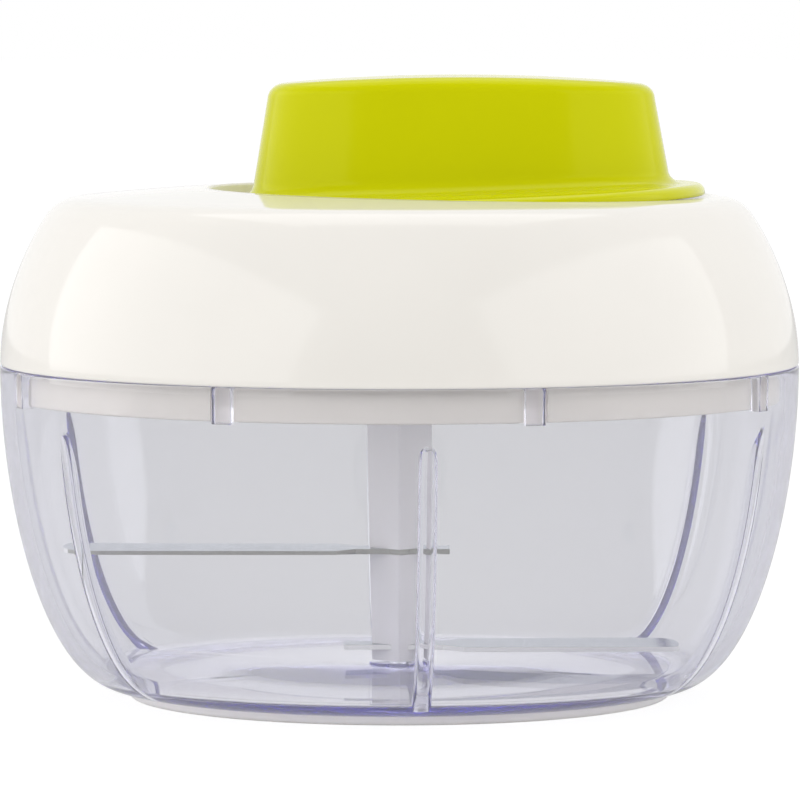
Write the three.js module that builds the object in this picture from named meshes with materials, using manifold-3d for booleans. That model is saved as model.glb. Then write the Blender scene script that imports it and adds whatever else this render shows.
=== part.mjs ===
// A pull-cord food chopper: a clear bowl, two steel blades on an upright shaft, and a deep
// white lid that holds a sprung cord reel. The green grip is docked in a round recess of the
// lid. Pulling it unwinds the cord, which turns the reel, the ratchet hub and the blades.
// Millimetres, +Z up. The origin is the middle of the base ring's underside, and the grip
// lies off centre towards +X.

import * as THREE from 'three';
import { mergeVertices } from 'three/addons/utils/BufferGeometryUtils.js';
import Module from 'manifold-3d';

const wasm = await Module();
wasm.setup();

// Fits shared by the whole chopper
const seatGap = 0.3;
const runGap = 0.3;
const overrun = 1;
const mergeTolerance = 0.0001;

// Base ring, a soft ring that keeps the bowl from sliding
const ringOuterRadius = 41.1;
const ringWidth = 4.6;
const ringHeight = 2.1;
const ringSeatDepth = 0.6;
const ringFit = 0.1;
const ringEdge = 0.4;

// Bowl
const bowlRimRadius = 60.5;
const bowlHeight = 48.9;
const bowlFootRadius = 42.6;
const bowlWall = 2;
const bowlFloorThickness = 2.6;
const bowlRimEdge = 0.4;
const bowlRimPull = 20.8;
const bowlFootPull = 11.5;
const bowlFootRise = 0.7;
const longRibCount = 6;
const longRibPhase = -86;
const longRibWidth = 2.7;
const longRibDepth = 2.2;
const longRibTop = 8.4;
const neckRibCount = 8;
const neckRibPhase = -70.7;
const neckRibWidth = 3.3;
const neckRibDepth = 1.5;
const pivotBossRadius = 4.6;
const pivotBossHeight = 0.6;

// Pivot pin that the blade shaft stands on
const pinRadius = 1.5;
const pinLength = 12;
const pinSeatDepth = 2.5;
const pinRounding = 0.5;

// Blade shaft, a square column standing on its corner, slightly tapered
const shaftHalfDiagonal = 5.15;
const shaftFootHalfDiagonal = 4.3;
const shaftEngagement = 5.6;

// Blades
const bladeThickness = 0.8;
const bladeChord = 12.5;
const bladeNeck = 6;
const bladeShoulder = 3;
const bladeFrontCorner = 2.5;
const bladeRearCorner = 7;
const upperBladeHeight = 22.1;
const upperBladeTipGap = 1.14;
const upperBladeStub = 7.6;
const lowerBladeHeight = 7.3;
const lowerBladeTipGap = 2.84;
const lowerBladeStub = 8.4;

// Lid cover, a deep bell whose top is slightly domed
const lidWall = 2.2;
const lidSideHeight = 22.7;
const lidShoulderInset = 7.1;
const lidSeamPull = 10.1;
const lidShoulderPullOut = 2.6;
const lidShoulderPullDown = 3.8;
const lidShoulderFillet = 4.1;
const lidCrownHeight = 27.7;
const lidDomeDrop = 2.5;
const lidDomeRadius = 50;
const lidBossRadius = 3.4;
const lidBossInset = 10.6;
const lidBossCount = 4;
const lidBossPhase = 45;

// Dock, the round recess that the grip lies in
const dockOffset = 9.2;
const dockRadius = 38;
const dockTilt = 2.1;
const dockWall = 1.8;
const dockFloorThickness = 1.8;

// Lid base, the pan that closes the lid from below
const skirtGap = 0.9;
const skirtWall = 2;
const skirtDepth = 5.1;
const skirtRise = 3.1;
const panThickness = 1.8;
const sleeveWall = 2;
const sleeveHeight = 2.7;
const padRadius = 5;
const padHeight = 3.8;
const notchGap = 0.5;

// Screws
const lidScrewRadius = 1.4;
const lidScrewHeadRadius = 2.6;
const lidScrewHeadHeight = 1.6;
const lidScrewLength = 9;
const smallScrewRadius = 1.1;
const smallScrewHeadRadius = 2.1;
const smallScrewHeadHeight = 1.1;
const smallScrewLength = 6.6;

// Drive hub, which the square end of the blade shaft enters from below
const hubWall = 1.7;
const hubFlangeHeight = 2.7;
const hubRoof = 1.5;
const ratchetRootRadius = 9.5;
const ratchetToothDepth = 2;
const ratchetTeeth = 10;

// Pawls, carried by the reel
const pawlHeight = 2.4;
const pawlPivotPlace = 15.5;
const pawlPivotAngle = -48;
const pawlPivotRadius = 1.2;
const pawlEyeRadius = 2.6;
const pawlInnerEdge = [[10.1, -2], [10.6, -10], [11.3, -20], [12.3, -30], [13.7, -42]];
const pawlOuterEdge = [[17, -42], [15.8, -34], [14.2, -22], [12.8, -10], [11.8, -2]];
const pawlCount = 2;

// Cord reel
const reelCoreRadius = 15;
const reelFlangeRadius = 23;
const reelFlangeThickness = 1.2;
const reelGroove = 9.4;
const arborRadius = 6;
const arborHeight = 5.2;
const reelPocketRadius = 5.2;
const reelPocketDepth = 2;

// Pull cord
const cordRadius = 0.9;
const cordPitch = 2.4;
const cordTurns = 2.95;
const cordKnotRadius = 1.8;
const cordStub = 7;
const pullRise = 45;

// Spindle, washer and screw that carry the reel
const spindleRadius = 3;
const spindleHeadRadius = 6;
const spindleHeadHeight = 0.8;
const spindleScrewRadius = 1.2;
const spindleScrewLength = 7;
const spindleScrewHeadHeight = 0.8;
const spindleScrewHeadRadius = 2.6;
const washerRadius = 4.6;
const washerThickness = 0.7;

// Spring cup, its cover and the spiral recoil spring
const cupRadius = 25.2;
const cupWall = 1.6;
const cupHeight = 6.5;
const cupRoof = 1.2;
const cupLugPlace = 29;
const cupLugRadius = 3.2;
const cupLugHeight = 2;
const cupLugCount = 3;
const cupLugPhase = 60;
const springCoverThickness = 1;
const springWidth = 4.2;
const springBand = 0.5;
const springTurns = 5;

// Cord guide, a bent tube that leads the cord up to the dock
const guidePlace = 30;
const guideRadius = 2.8;
const guideBore = 1.4;
const guideFoot = 1.9;
const guideBend = 4;
const guideCollarRadius = 4.4;
const guideCollarHeight = 1.6;

// Grip
const flangeGap = 1;
const flangeThickness = 1.8;
const flangeEdge = 0.5;
const gripOffset = 9.3;
const gripHalfLength = 31.3;
const gripHalfDepth = 15;
const gripDraft = 2;
const gripFillet = 2.5;
const gripTopEdge = 2.3;
const gripHeight = 17.43;
const gripTopArch = 1.5;
const gripWall = 2;
const gripRoundness = 2.5;
const gripBossPlace = 16;
const gripBossRadius = 2.8;
const underplateThickness = 2.4;

// Facets
const roundSteps = 40;
const smallSteps = 14;
const curveSteps = 6;
const edgeSteps = 3;
const windingSteps = 20;

// Levels and radii worked out from the sizes above
const footLevel = ringHeight - ringSeatDepth;
const rimLevel = footLevel + bowlHeight;
const floorLevel = footLevel + bowlFloorThickness;
const pivotBossLevel = floorLevel + pivotBossHeight;
const pinFootLevel = pivotBossLevel - pinSeatDepth;
const pinTopLevel = pinFootLevel + pinLength;
const shaftFootLevel = pivotBossLevel + seatGap;
const skirtRadius = bowlRimRadius - bowlWall - skirtGap;
const skirtLevel = rimLevel - skirtDepth;
const lidBossPlace = skirtRadius - lidBossInset;
const panTopLevel = skirtLevel + panThickness;
const sleeveTopLevel = skirtLevel + sleeveHeight;
const hubFlangeLevel = sleeveTopLevel + seatGap;
const hubTopLevel = hubFlangeLevel + hubFlangeHeight;
const socketTopLevel = hubTopLevel - hubRoof;
const socketHalfDiagonal = shaftHalfDiagonal + runGap * Math.SQRT2;
const hubRadius = socketHalfDiagonal + hubWall;
const sleeveRadius = hubRadius + runGap;
const shaftTopLevel = socketTopLevel - seatGap;
const hubFootLevel = shaftTopLevel - shaftEngagement - seatGap;
const reelLevel = hubTopLevel + seatGap;
const grooveLevel = reelLevel + reelFlangeThickness;
const grooveTopLevel = grooveLevel + reelGroove;
const reelTopLevel = grooveTopLevel + reelFlangeThickness;
const arborTopLevel = reelTopLevel + arborHeight;
const spindleFootLevel = reelLevel + reelPocketDepth;
const springCoverLevel = reelTopLevel + seatGap;
const cupLevel = springCoverLevel + springCoverThickness;
const cupTopLevel = cupLevel + cupHeight;
const lidCrownLevel = rimLevel + lidCrownHeight;
const flangeRadius = dockRadius - flangeGap;
const flangeLevel = domeLevel(Math.hypot(dockOffset, dockRadius));
const gripTopLevel = flangeLevel + gripHeight;
const dockFloorDepth = flangeThickness + seatGap;
const dockUnderDepth = dockFloorDepth + dockFloorThickness;
const cordWindRadius = reelCoreRadius + seatGap + cordRadius;
const cordStartLevel = grooveLevel + cordRadius + seatGap;
const cordLeadLevel = cordStartLevel + cordTurns * cordPitch;
const cordLeadAngle = -Math.acos(cordWindRadius / guidePlace);
const underplateTop = underplateThickness - flangeThickness;

function radians(degrees) {
  return THREE.MathUtils.degToRad(degrees);
}

function domeLevel(radius) {
  return lidCrownLevel - lidDomeDrop * (radius / lidDomeRadius) ** 2;
}

// The dock's plane rises towards +X. Its level at a place x, some depth below the flange's top.
function dockLevel(x, depth = 0) {
  return flangeLevel + (x - dockOffset) * Math.tan(radians(dockTilt)) - depth;
}

// Moves a shape drawn level round the origin into the tilted dock.
function intoDock(geometry) {
  geometry.rotateY(-radians(dockTilt));
  return geometry.translate(dockOffset, 0, flangeLevel);
}

// A closed solid from a geometry: shared vertices merged, slivers dropped, faces outward.
function solid(geometry) {
  const bare = geometry.clone();
  bare.deleteAttribute('normal');
  bare.deleteAttribute('uv');
  const merged = mergeVertices(bare, mergeTolerance);
  const corners = merged.attributes.position;
  const index = merged.index.array;
  const triangles = [];
  const a = new THREE.Vector3();
  const b = new THREE.Vector3();
  const c = new THREE.Vector3();
  let volume = 0;
  for (let i = 0; i < index.length; i += 3) {
    const [p, q, r] = index.slice(i, i + 3);
    if (p === q || q === r || r === p) continue;
    triangles.push(p, q, r);
    a.fromBufferAttribute(corners, p);
    b.fromBufferAttribute(corners, q);
    c.fromBufferAttribute(corners, r);
    volume += a.dot(b.cross(c));
  }
  if (volume < 0) {
    for (let i = 0; i < triangles.length; i += 3) {
      [triangles[i + 1], triangles[i + 2]] = [triangles[i + 2], triangles[i + 1]];
    }
  }
  return new wasm.Manifold(new wasm.Mesh({
    numProp: 3,
    vertProperties: new Float32Array(corners.array),
    triVerts: new Uint32Array(triangles),
  }));
}

function joined(first, ...others) {
  return others.reduce((whole, next) => whole.add(next), first);
}

function cut(first, ...others) {
  return others.reduce((whole, next) => whole.subtract(next), first);
}

// A turned solid from an outline of [radius, level] points. It closes on itself.
function turned(outline, steps = roundSteps) {
  const points = [...outline, outline[0]].map(([r, z]) => new THREE.Vector2(r, z));
  const geometry = new THREE.LatheGeometry(points, steps);
  return geometry.rotateX(Math.PI / 2).rotateZ(Math.PI / 2);
}

// A turned solid whose outline starts and ends on the axis.
function turnedCore(outline, steps = roundSteps) {
  const points = outline.map(([r, z]) => new THREE.Vector2(r, z));
  const geometry = new THREE.LatheGeometry(points, steps);
  return geometry.rotateX(Math.PI / 2).rotateZ(Math.PI / 2);
}

function disc(radius, low, high, steps = smallSteps) {
  return turnedCore([[0, low], [radius, low], [radius, high], [0, high]], steps);
}

function pipe(inner, outer, low, high, steps = smallSteps) {
  return turned([[inner, low], [outer, low], [outer, high], [inner, high]], steps);
}

function plate(outline, low, high) {
  const shape = new THREE.Shape(outline);
  const geometry = new THREE.ExtrudeGeometry(shape, { depth: high - low, bevelEnabled: false });
  return geometry.translate(0, 0, low);
}

function block(length, width, low, high) {
  const geometry = new THREE.BoxGeometry(length, width, high - low);
  return geometry.translate(0, 0, (low + high) / 2);
}

function polar(radius, degrees) {
  const angle = radians(degrees);
  return [radius * Math.cos(angle), radius * Math.sin(angle)];
}

function ringOf(count, phase, make) {
  return Array.from({ length: count }, (_, i) => make(phase + i * 360 / count, i));
}

// A skin over rings that all have the same number of points, closed by a flat fan at each end.
function skin(rings) {
  const count = rings[0].length;
  const corners = rings.flat();
  const faces = [];
  for (let k = 0; k + 1 < rings.length; k += 1) {
    for (let i = 0; i < count; i += 1) {
      const j = (i + 1) % count;
      const low = k * count;
      const high = low + count;
      faces.push(low + i, low + j, high + j, low + i, high + j, high + i);
    }
  }
  for (const [k, turn] of [[0, true], [rings.length - 1, false]]) {
    const middle = new THREE.Vector3();
    rings[k].forEach((point) => middle.add(point));
    corners.push(middle.divideScalar(count));
    for (let i = 0; i < count; i += 1) {
      const p = k * count + i;
      const q = k * count + (i + 1) % count;
      faces.push(corners.length - 1, ...(turn ? [q, p] : [p, q]));
    }
  }
  const geometry = new THREE.BufferGeometry().setFromPoints(corners);
  geometry.setIndex(faces);
  return geometry;
}

// A round bar or a tube along a curve.
function alongCurve(curve, radius, bore, sides, steps) {
  const section = new THREE.Shape();
  section.setFromPoints(circle(radius, sides));
  if (bore > 0) section.holes.push(new THREE.Path(circle(bore, sides, 0.5)));
  return new THREE.ExtrudeGeometry(section, { steps, extrudePath: curve, bevelEnabled: false });
}

function circle(radius, sides, firstStep = 0) {
  return Array.from({ length: sides }, (_, i) => {
    const angle = (i + firstStep) * 2 * Math.PI / sides;
    return new THREE.Vector2(radius * Math.cos(angle), radius * Math.sin(angle));
  });
}

const chopper = new THREE.Group();

function addPiece(name, shape, color, roughness, metalness, parent = chopper) {
  let geometry = shape;
  if (!shape.isBufferGeometry) {
    const mesh = shape.getMesh();
    geometry = new THREE.BufferGeometry();
    geometry.setAttribute('position', new THREE.BufferAttribute(mesh.vertProperties, 3));
    geometry.setIndex(new THREE.BufferAttribute(mesh.triVerts, 1));
  }
  geometry.computeVertexNormals();
  const piece = new THREE.Mesh(geometry, new THREE.MeshStandardMaterial({ color, roughness, metalness }));
  piece.name = name;
  parent.add(piece);
  return piece;
}

const clearColour = 0xdcdfee;
const milkyColour = 0xc6c3c0;
const whiteColour = 0xf2efe9;
const paleColour = 0xd2d2d4;
const greenColour = 0xbfc70a;
const steelColour = 0xc9cdd0;
const springColour = 0x8b9096;
const acetalColour = 0xe4e2dc;
const cordColour = 0xe9e6dd;
const greyColour = 0x9a9da1;

// Bowl: the outer outline is one curve from the upright rim to the foot, and the inner one
// runs beside it at the wall's thickness until it meets the floor.
const bowlCurve = new THREE.CubicBezierCurve(
  new THREE.Vector2(bowlFootRadius, footLevel),
  new THREE.Vector2(bowlFootRadius + bowlFootPull, footLevel + bowlFootRise),
  new THREE.Vector2(bowlRimRadius, rimLevel - bowlRimPull),
  new THREE.Vector2(bowlRimRadius, rimLevel),
);

function besideCurve(curve, distance, steps) {
  return Array.from({ length: steps + 1 }, (_, i) => {
    const point = curve.getPoint(i / steps);
    const tangent = curve.getTangent(i / steps);
    return [point.x - tangent.y * distance, point.y + tangent.x * distance];
  });
}

function bowlInside(distance) {
  const points = besideCurve(bowlCurve, distance, 2 * curveSteps);
  return points.filter(([, z]) => z > floorLevel + distance / 2);
}

function longRib(angle) {
  const top = rimLevel - longRibTop;
  const inner = bowlInside(bowlWall + longRibDepth).filter(([, z]) => z < top - longRibDepth);
  const outer = bowlInside(bowlWall / 2).filter(([, z]) => z < top);
  const [footRadius] = inner[0];
  const [topRadius, topLevel] = outer[outer.length - 1];
  const outline = [
    [footRadius - longRibDepth, floorLevel - bowlWall / 2],
    ...inner,
    [topRadius - longRibDepth, top - longRibDepth / 2],
    [topRadius - bowlWall, Math.max(top, topLevel)],
    ...outer.reverse(),
    [footRadius, floorLevel - bowlWall / 2],
  ];
  const shape = new THREE.Shape(outline.map(([r, z]) => new THREE.Vector2(r, z)));
  const rib = new THREE.ExtrudeGeometry(shape, { depth: longRibWidth, bevelEnabled: false });
  rib.translate(0, 0, -longRibWidth / 2);
  return rib.rotateX(Math.PI / 2).rotateZ(radians(angle));
}

function neckRib(angle) {
  const outer = bowlRimRadius - bowlWall / 2;
  const inner = bowlRimRadius - bowlWall - neckRibDepth;
  const rib = block(outer - inner, neckRibWidth, skirtLevel - seatGap, rimLevel - bowlRimEdge);
  return rib.translate((outer + inner) / 2, 0, 0).rotateZ(radians(angle));
}

function makeBowl() {
  const ringInner = ringOuterRadius - ringWidth;
  const outer = besideCurve(bowlCurve, 0, curveSteps + 2).slice(0, -1);
  const inner = bowlInside(bowlWall).filter((_, i, all) => i % 2 === 0 || i === all.length - 1);
  const shell = turnedCore([
    [0, footLevel],
    [ringInner - ringFit, footLevel],
    [ringInner - ringFit, footLevel + ringSeatDepth],
    [ringOuterRadius + ringFit, footLevel + ringSeatDepth],
    [ringOuterRadius + ringFit, footLevel],
    ...outer,
    [bowlRimRadius, rimLevel - bowlRimEdge],
    [bowlRimRadius - bowlRimEdge, rimLevel],
    [bowlRimRadius - bowlWall, rimLevel],
    ...inner.slice(0, -1).reverse(),
    [inner[0][0] - bowlWall, floorLevel],
    [0, floorLevel],
  ]);
  const boss = disc(pivotBossRadius, floorLevel - bowlWall / 2, pivotBossLevel, smallSteps);
  const pinHole = disc(pinRadius + ringFit, pinFootLevel, pivotBossLevel + overrun, smallSteps);
  const longRibs = ringOf(longRibCount, longRibPhase, (angle) => solid(longRib(angle)));
  const neckRibs = ringOf(neckRibCount, neckRibPhase, (angle) => solid(neckRib(angle)));
  return cut(joined(solid(shell), solid(boss), ...longRibs, ...neckRibs), solid(pinHole));
}

function makeBaseRing() {
  const inner = ringOuterRadius - ringWidth;
  return solid(turned([
    [inner, 0],
    [ringOuterRadius - ringEdge, 0],
    [ringOuterRadius, ringEdge],
    [ringOuterRadius, ringHeight],
    [inner, ringHeight],
  ]));
}

function makePivotPin() {
  return solid(turnedCore([
    [0, pinFootLevel],
    [pinRadius, pinFootLevel],
    [pinRadius, pinTopLevel - pinRounding],
    [pinRadius - pinRounding, pinTopLevel],
    [0, pinTopLevel],
  ], smallSteps));
}

// Blade shaft: square, with one corner towards the front, slotted for both blades.
function makeShaft() {
  const taperTop = hubFootLevel;
  const taper = new THREE.CylinderGeometry(
    shaftHalfDiagonal, shaftFootHalfDiagonal, taperTop - shaftFootLevel, 4,
  ).rotateX(Math.PI / 2).translate(0, 0, (taperTop + shaftFootLevel) / 2);
  const end = new THREE.CylinderGeometry(
    shaftHalfDiagonal, shaftHalfDiagonal, shaftTopLevel - taperTop, 4,
  ).rotateX(Math.PI / 2).translate(0, 0, (shaftTopLevel + taperTop) / 2);
  const pinBore = disc(
    pinRadius + runGap, shaftFootLevel - overrun, pinTopLevel + seatGap, smallSteps,
  );
  const slots = [upperBladeHeight, lowerBladeHeight].map((level) => solid(block(
    2 * shaftHalfDiagonal + overrun, bladeNeck + 2 * seatGap,
    level - bladeThickness / 2, level + bladeThickness / 2,
  )));
  return cut(joined(solid(taper), solid(end)), solid(pinBore), ...slots);
}

// How far a blade at some level reaches: up to a gap from the bowl's long ribs.
function bladeReach(level, tipGap) {
  const inside = besideCurve(bowlCurve, bowlWall + longRibDepth, 2 * curveSteps);
  const next = inside.findIndex(([, z]) => z > level);
  const [[lowRadius, low], [highRadius, high]] = inside.slice(next - 1, next + 1);
  return THREE.MathUtils.mapLinear(level, low, high, lowRadius, highRadius) - tipGap;
}

// A blade drawn with its cutting arm towards +X. The neck passes through the shaft.
function bladeOutline(reach, stub) {
  const shape = new THREE.Shape();
  const half = bladeChord / 2;
  const neck = bladeNeck / 2;
  const root = shaftHalfDiagonal + bladeShoulder / 2;
  shape.moveTo(-stub, -neck);
  shape.lineTo(root, -neck);
  shape.lineTo(root + bladeShoulder, -half);
  shape.lineTo(reach - bladeFrontCorner, -half);
  shape.quadraticCurveTo(reach, -half, reach, bladeFrontCorner - half);
  shape.lineTo(reach, half - bladeRearCorner);
  shape.quadraticCurveTo(reach, half, reach - bladeRearCorner, half);
  shape.lineTo(root + bladeShoulder, half);
  shape.lineTo(root, neck);
  shape.lineTo(-stub, neck);
  shape.closePath();
  return shape;
}

function makeBlade(tipGap, stub, level, turn, pinRun) {
  const shape = bladeOutline(bladeReach(level, tipGap), stub);
  if (pinRun) shape.holes.push(new THREE.Path(circle(pinRadius + runGap, smallSteps)));
  const blade = new THREE.ExtrudeGeometry(shape, {
    depth: bladeThickness, bevelEnabled: false, curveSegments: 5,
  });
  return solid(blade.rotateZ(radians(turn)).translate(0, 0, level - bladeThickness / 2));
}

// Lid cover: side curve, shoulder fillet and domed top, with the dock's pan let into it.
const lidShoulderRadius = bowlRimRadius - lidShoulderInset;
const lidShoulderLevel = rimLevel + lidSideHeight;
const lidSide = new THREE.CubicBezierCurve(
  new THREE.Vector2(bowlRimRadius, rimLevel),
  new THREE.Vector2(bowlRimRadius, rimLevel + lidSeamPull),
  new THREE.Vector2(lidShoulderRadius + lidShoulderPullOut, lidShoulderLevel - lidShoulderPullDown),
  new THREE.Vector2(lidShoulderRadius, lidShoulderLevel),
);
const lidTopEdgeRadius = lidShoulderRadius - lidShoulderFillet;
const lidCorner = new THREE.QuadraticBezierCurve(
  new THREE.Vector2(lidShoulderRadius, lidShoulderLevel),
  new THREE.Vector2(lidShoulderRadius - lidShoulderFillet / 3, domeLevel(lidShoulderRadius)),
  new THREE.Vector2(lidTopEdgeRadius, domeLevel(lidTopEdgeRadius)),
);

function lidOutline(distance) {
  const side = besideCurve(lidSide, distance, curveSteps);
  const corner = besideCurve(lidCorner, distance, 3).slice(1);
  const dome = [2, 1].map((i) => {
    const radius = lidTopEdgeRadius * i / 3;
    return [radius, domeLevel(radius) - distance];
  });
  return [...side, ...corner, ...dome, [0, lidCrownLevel - distance]];
}

function atPlaces(count, phase, place, make) {
  return ringOf(count, phase, (angle) => {
    const [x, y] = polar(place, angle);
    return solid(make(x, y).translate(x, y, 0));
  });
}

const bossFootLevel = skirtLevel + padHeight;

// A spring cup's boss ends in the dock's floor, or in the dome where it stands beside the dock.
function cupBossTop(x, y) {
  const underDock = Math.hypot(x - dockOffset, y) < dockRadius + dockWall;
  const dockTop = dockLevel(x, dockUnderDepth) + dockFloorThickness / 2;
  return underDock ? dockTop : domeLevel(cupLugPlace) - lidWall / 2;
}

function makeLidCover() {
  const outer = solid(turnedCore([[0, rimLevel], ...lidOutline(0)]));
  const inner = lidOutline(lidWall);
  const hollow = solid(turnedCore([[0, rimLevel - overrun], [inner[0][0], rimLevel - overrun], ...inner]));
  const pan = outer.intersect(solid(intoDock(
    disc(dockRadius + dockWall, -dockUnderDepth, dockRadius, roundSteps),
  )));
  const recess = solid(intoDock(disc(dockRadius, -dockFloorDepth, dockRadius, roundSteps)));
  const bossTop = domeLevel(lidBossPlace) - lidWall / 2;
  const lidBosses = atPlaces(lidBossCount, lidBossPhase, lidBossPlace, () => pipe(
    lidScrewRadius + runGap, lidBossRadius, bossFootLevel, bossTop,
  ));
  const cupBosses = atPlaces(cupLugCount, cupLugPhase, cupLugPlace, (x, y) => pipe(
    smallScrewRadius + runGap, cupLugRadius, cupLevel + cupLugHeight, cupBossTop(x, y),
  ));
  const guideHole = solid(disc(guideRadius + seatGap, reelTopLevel, lidCrownLevel + overrun)
    .translate(guidePlace, 0, 0));
  return cut(joined(cut(outer, hollow), pan, ...lidBosses, ...cupBosses), recess, guideHole);
}

// Lid base: skirt, pan, the sleeve that the hub turns in, and the screw pads.
function makeLidBase() {
  const top = rimLevel + skirtRise;
  const pan = turned([
    [sleeveRadius, skirtLevel],
    [skirtRadius, skirtLevel],
    [skirtRadius, top],
    [skirtRadius - skirtWall, top],
    [skirtRadius - skirtWall, panTopLevel],
    [sleeveRadius + sleeveWall, panTopLevel],
    [sleeveRadius + sleeveWall, sleeveTopLevel],
    [sleeveRadius, sleeveTopLevel],
  ]);
  const pads = atPlaces(lidBossCount, lidBossPhase, lidBossPlace, () => disc(
    padRadius, skirtLevel, bossFootLevel,
  ));
  const holes = atPlaces(lidBossCount, lidBossPhase, lidBossPlace, () => disc(
    lidScrewRadius + runGap, skirtLevel - overrun, bossFootLevel + overrun,
  ));
  const sinks = atPlaces(lidBossCount, lidBossPhase, lidBossPlace, () => disc(
    lidScrewHeadRadius + runGap, skirtLevel - overrun, lidScrewSeat,
  ));
  const notchDepth = neckRibDepth - skirtGap + notchGap;
  const notches = ringOf(neckRibCount, neckRibPhase, (angle) => solid(
    block(2 * notchDepth, neckRibWidth + 2 * notchGap, skirtLevel - overrun, rimLevel)
      .translate(skirtRadius, 0, 0).rotateZ(radians(angle)),
  ));
  return cut(joined(solid(pan), ...pads), ...holes, ...sinks, ...notches);
}

const lidScrewSeat = skirtLevel + lidScrewHeadHeight + seatGap;

function makeScrew(headRadius, headHeight, radius, length, seat) {
  return turnedCore([
    [0, seat - headHeight],
    [headRadius, seat - headHeight],
    [headRadius, seat],
    [radius, seat],
    [radius, seat + length],
    [0, seat + length],
  ], smallSteps - 4);
}

function placed(geometry, place, angle) {
  const [x, y] = polar(place, angle);
  return solid(geometry.translate(x, y, 0));
}

// Drive hub: a sleeve with a square socket, and saw teeth round its flange.
function makeDriveHub() {
  const teeth = [];
  for (let i = 0; i < ratchetTeeth; i += 1) {
    const start = i * 360 / ratchetTeeth;
    teeth.push(polar(ratchetRootRadius + ratchetToothDepth, start));
    teeth.push(polar(ratchetRootRadius + ratchetToothDepth / 2, start + 180 / ratchetTeeth));
    teeth.push(polar(ratchetRootRadius, start + 360 / ratchetTeeth));
  }
  const outline = teeth.map(([x, y]) => new THREE.Vector2(x, y));
  const flange = plate(outline, hubFlangeLevel, hubTopLevel);
  const sleeve = disc(hubRadius, hubFootLevel, hubFlangeLevel + hubFlangeHeight / 2, smallSteps + 4);
  const socketDepth = socketTopLevel - hubFootLevel + overrun;
  const socket = new THREE.CylinderGeometry(socketHalfDiagonal, socketHalfDiagonal, socketDepth, 4)
    .rotateX(Math.PI / 2).translate(0, 0, socketTopLevel - socketDepth / 2);
  return cut(joined(solid(flange), solid(sleeve)), solid(socket));
}

// A pawl: a curved finger whose tip lies against a tooth, with an eye for its pin.
function makePawl(turn) {
  const [x, y] = polar(pawlPivotPlace, pawlPivotAngle);
  const finger = [
    ...pawlInnerEdge.map(([r, a]) => polar(r, a)),
    ...pawlOuterEdge.map(([r, a]) => polar(r, a)),
  ].map(([px, py]) => new THREE.Vector2(px, py));
  const [low, high] = [reelLevel - seatGap - pawlHeight, reelLevel - seatGap];
  const eye = disc(pawlEyeRadius, low, high, smallSteps - 4).translate(x, y, 0);
  const hole = disc(pawlPivotRadius + runGap, low - overrun, high + overrun, smallSteps - 4)
    .translate(x, y, 0);
  const pawl = cut(joined(solid(plate(finger, low, high)), solid(eye)), solid(hole));
  return pawl.rotate([0, 0, turn]);
}

// Cord reel: flanged drum, arbor for the spring above, pins for the pawls below.
function makeReel() {
  const bore = spindleRadius + runGap;
  const drum = turned([
    [reelPocketRadius, reelLevel],
    [reelFlangeRadius, reelLevel],
    [reelFlangeRadius, grooveLevel],
    [reelCoreRadius, grooveLevel],
    [reelCoreRadius, grooveTopLevel],
    [reelFlangeRadius, grooveTopLevel],
    [reelFlangeRadius, reelTopLevel],
    [arborRadius, reelTopLevel],
    [arborRadius, arborTopLevel],
    [bore, arborTopLevel],
    [bore, spindleFootLevel],
    [reelPocketRadius, spindleFootLevel],
  ], roundSteps - smallSteps);
  const pins = ringOf(pawlCount, pawlPivotAngle, (angle) => placed(
    disc(pawlPivotRadius, reelLevel - pawlHeight, grooveLevel - reelFlangeThickness / 2, 12),
    pawlPivotPlace, angle,
  ));
  return joined(solid(drum), ...pins);
}

function makeSpindle() {
  const bore = spindleScrewRadius + runGap;
  const depth = spindleScrewLength + seatGap;
  return solid(turnedCore([
    [0, spindleFootLevel + depth],
    [bore, spindleFootLevel + depth],
    [bore, spindleFootLevel],
    [spindleRadius, spindleFootLevel],
    [spindleRadius, cupTopLevel],
    [spindleHeadRadius, cupTopLevel],
    [spindleHeadRadius, cupTopLevel + spindleHeadHeight],
    [0, cupTopLevel + spindleHeadHeight],
  ], smallSteps + 4));
}

function makeWasher() {
  const top = spindleFootLevel;
  return solid(pipe(spindleScrewRadius + runGap, washerRadius, top - washerThickness, top));
}

function makeSpindleScrew() {
  const seat = spindleFootLevel - washerThickness;
  return solid(makeScrew(
    spindleScrewHeadRadius, spindleScrewHeadHeight,
    spindleScrewRadius, spindleScrewLength, seat,
  ));
}

// Spring cup: an upturned cup with three lugs. Its cover closes it from below.
function cupLugs(low, high, bore) {
  const lugs = atPlaces(cupLugCount, cupLugPhase, cupLugPlace, () => disc(
    cupLugRadius, low, high, smallSteps - 4,
  ));
  const webs = ringOf(cupLugCount, cupLugPhase, (angle) => solid(
    block(2 * cupLugRadius, 2 * cupLugRadius, low, high)
      .translate(cupLugPlace - cupLugRadius, 0, 0).rotateZ(radians(angle)),
  ));
  const holes = atPlaces(cupLugCount, cupLugPhase, cupLugPlace, () => disc(
    bore, low - overrun, high + overrun, smallSteps - 4,
  ));
  return { body: joined(...lugs, ...webs), holes };
}

function makeSpringCup() {
  const wall = turned([
    [spindleRadius + seatGap, cupTopLevel - cupRoof],
    [cupRadius - cupWall, cupTopLevel - cupRoof],
    [cupRadius - cupWall, cupLevel],
    [cupRadius, cupLevel],
    [cupRadius, cupTopLevel],
    [spindleRadius + seatGap, cupTopLevel],
  ], roundSteps - smallSteps);
  const { body, holes } = cupLugs(cupLevel, cupLevel + cupLugHeight, smallScrewRadius + runGap);
  const inside = solid(disc(
    cupRadius - cupWall, cupLevel - overrun, cupTopLevel - cupRoof, roundSteps - smallSteps,
  ));
  return cut(joined(solid(wall), body.subtract(inside)), ...holes);
}

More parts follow.
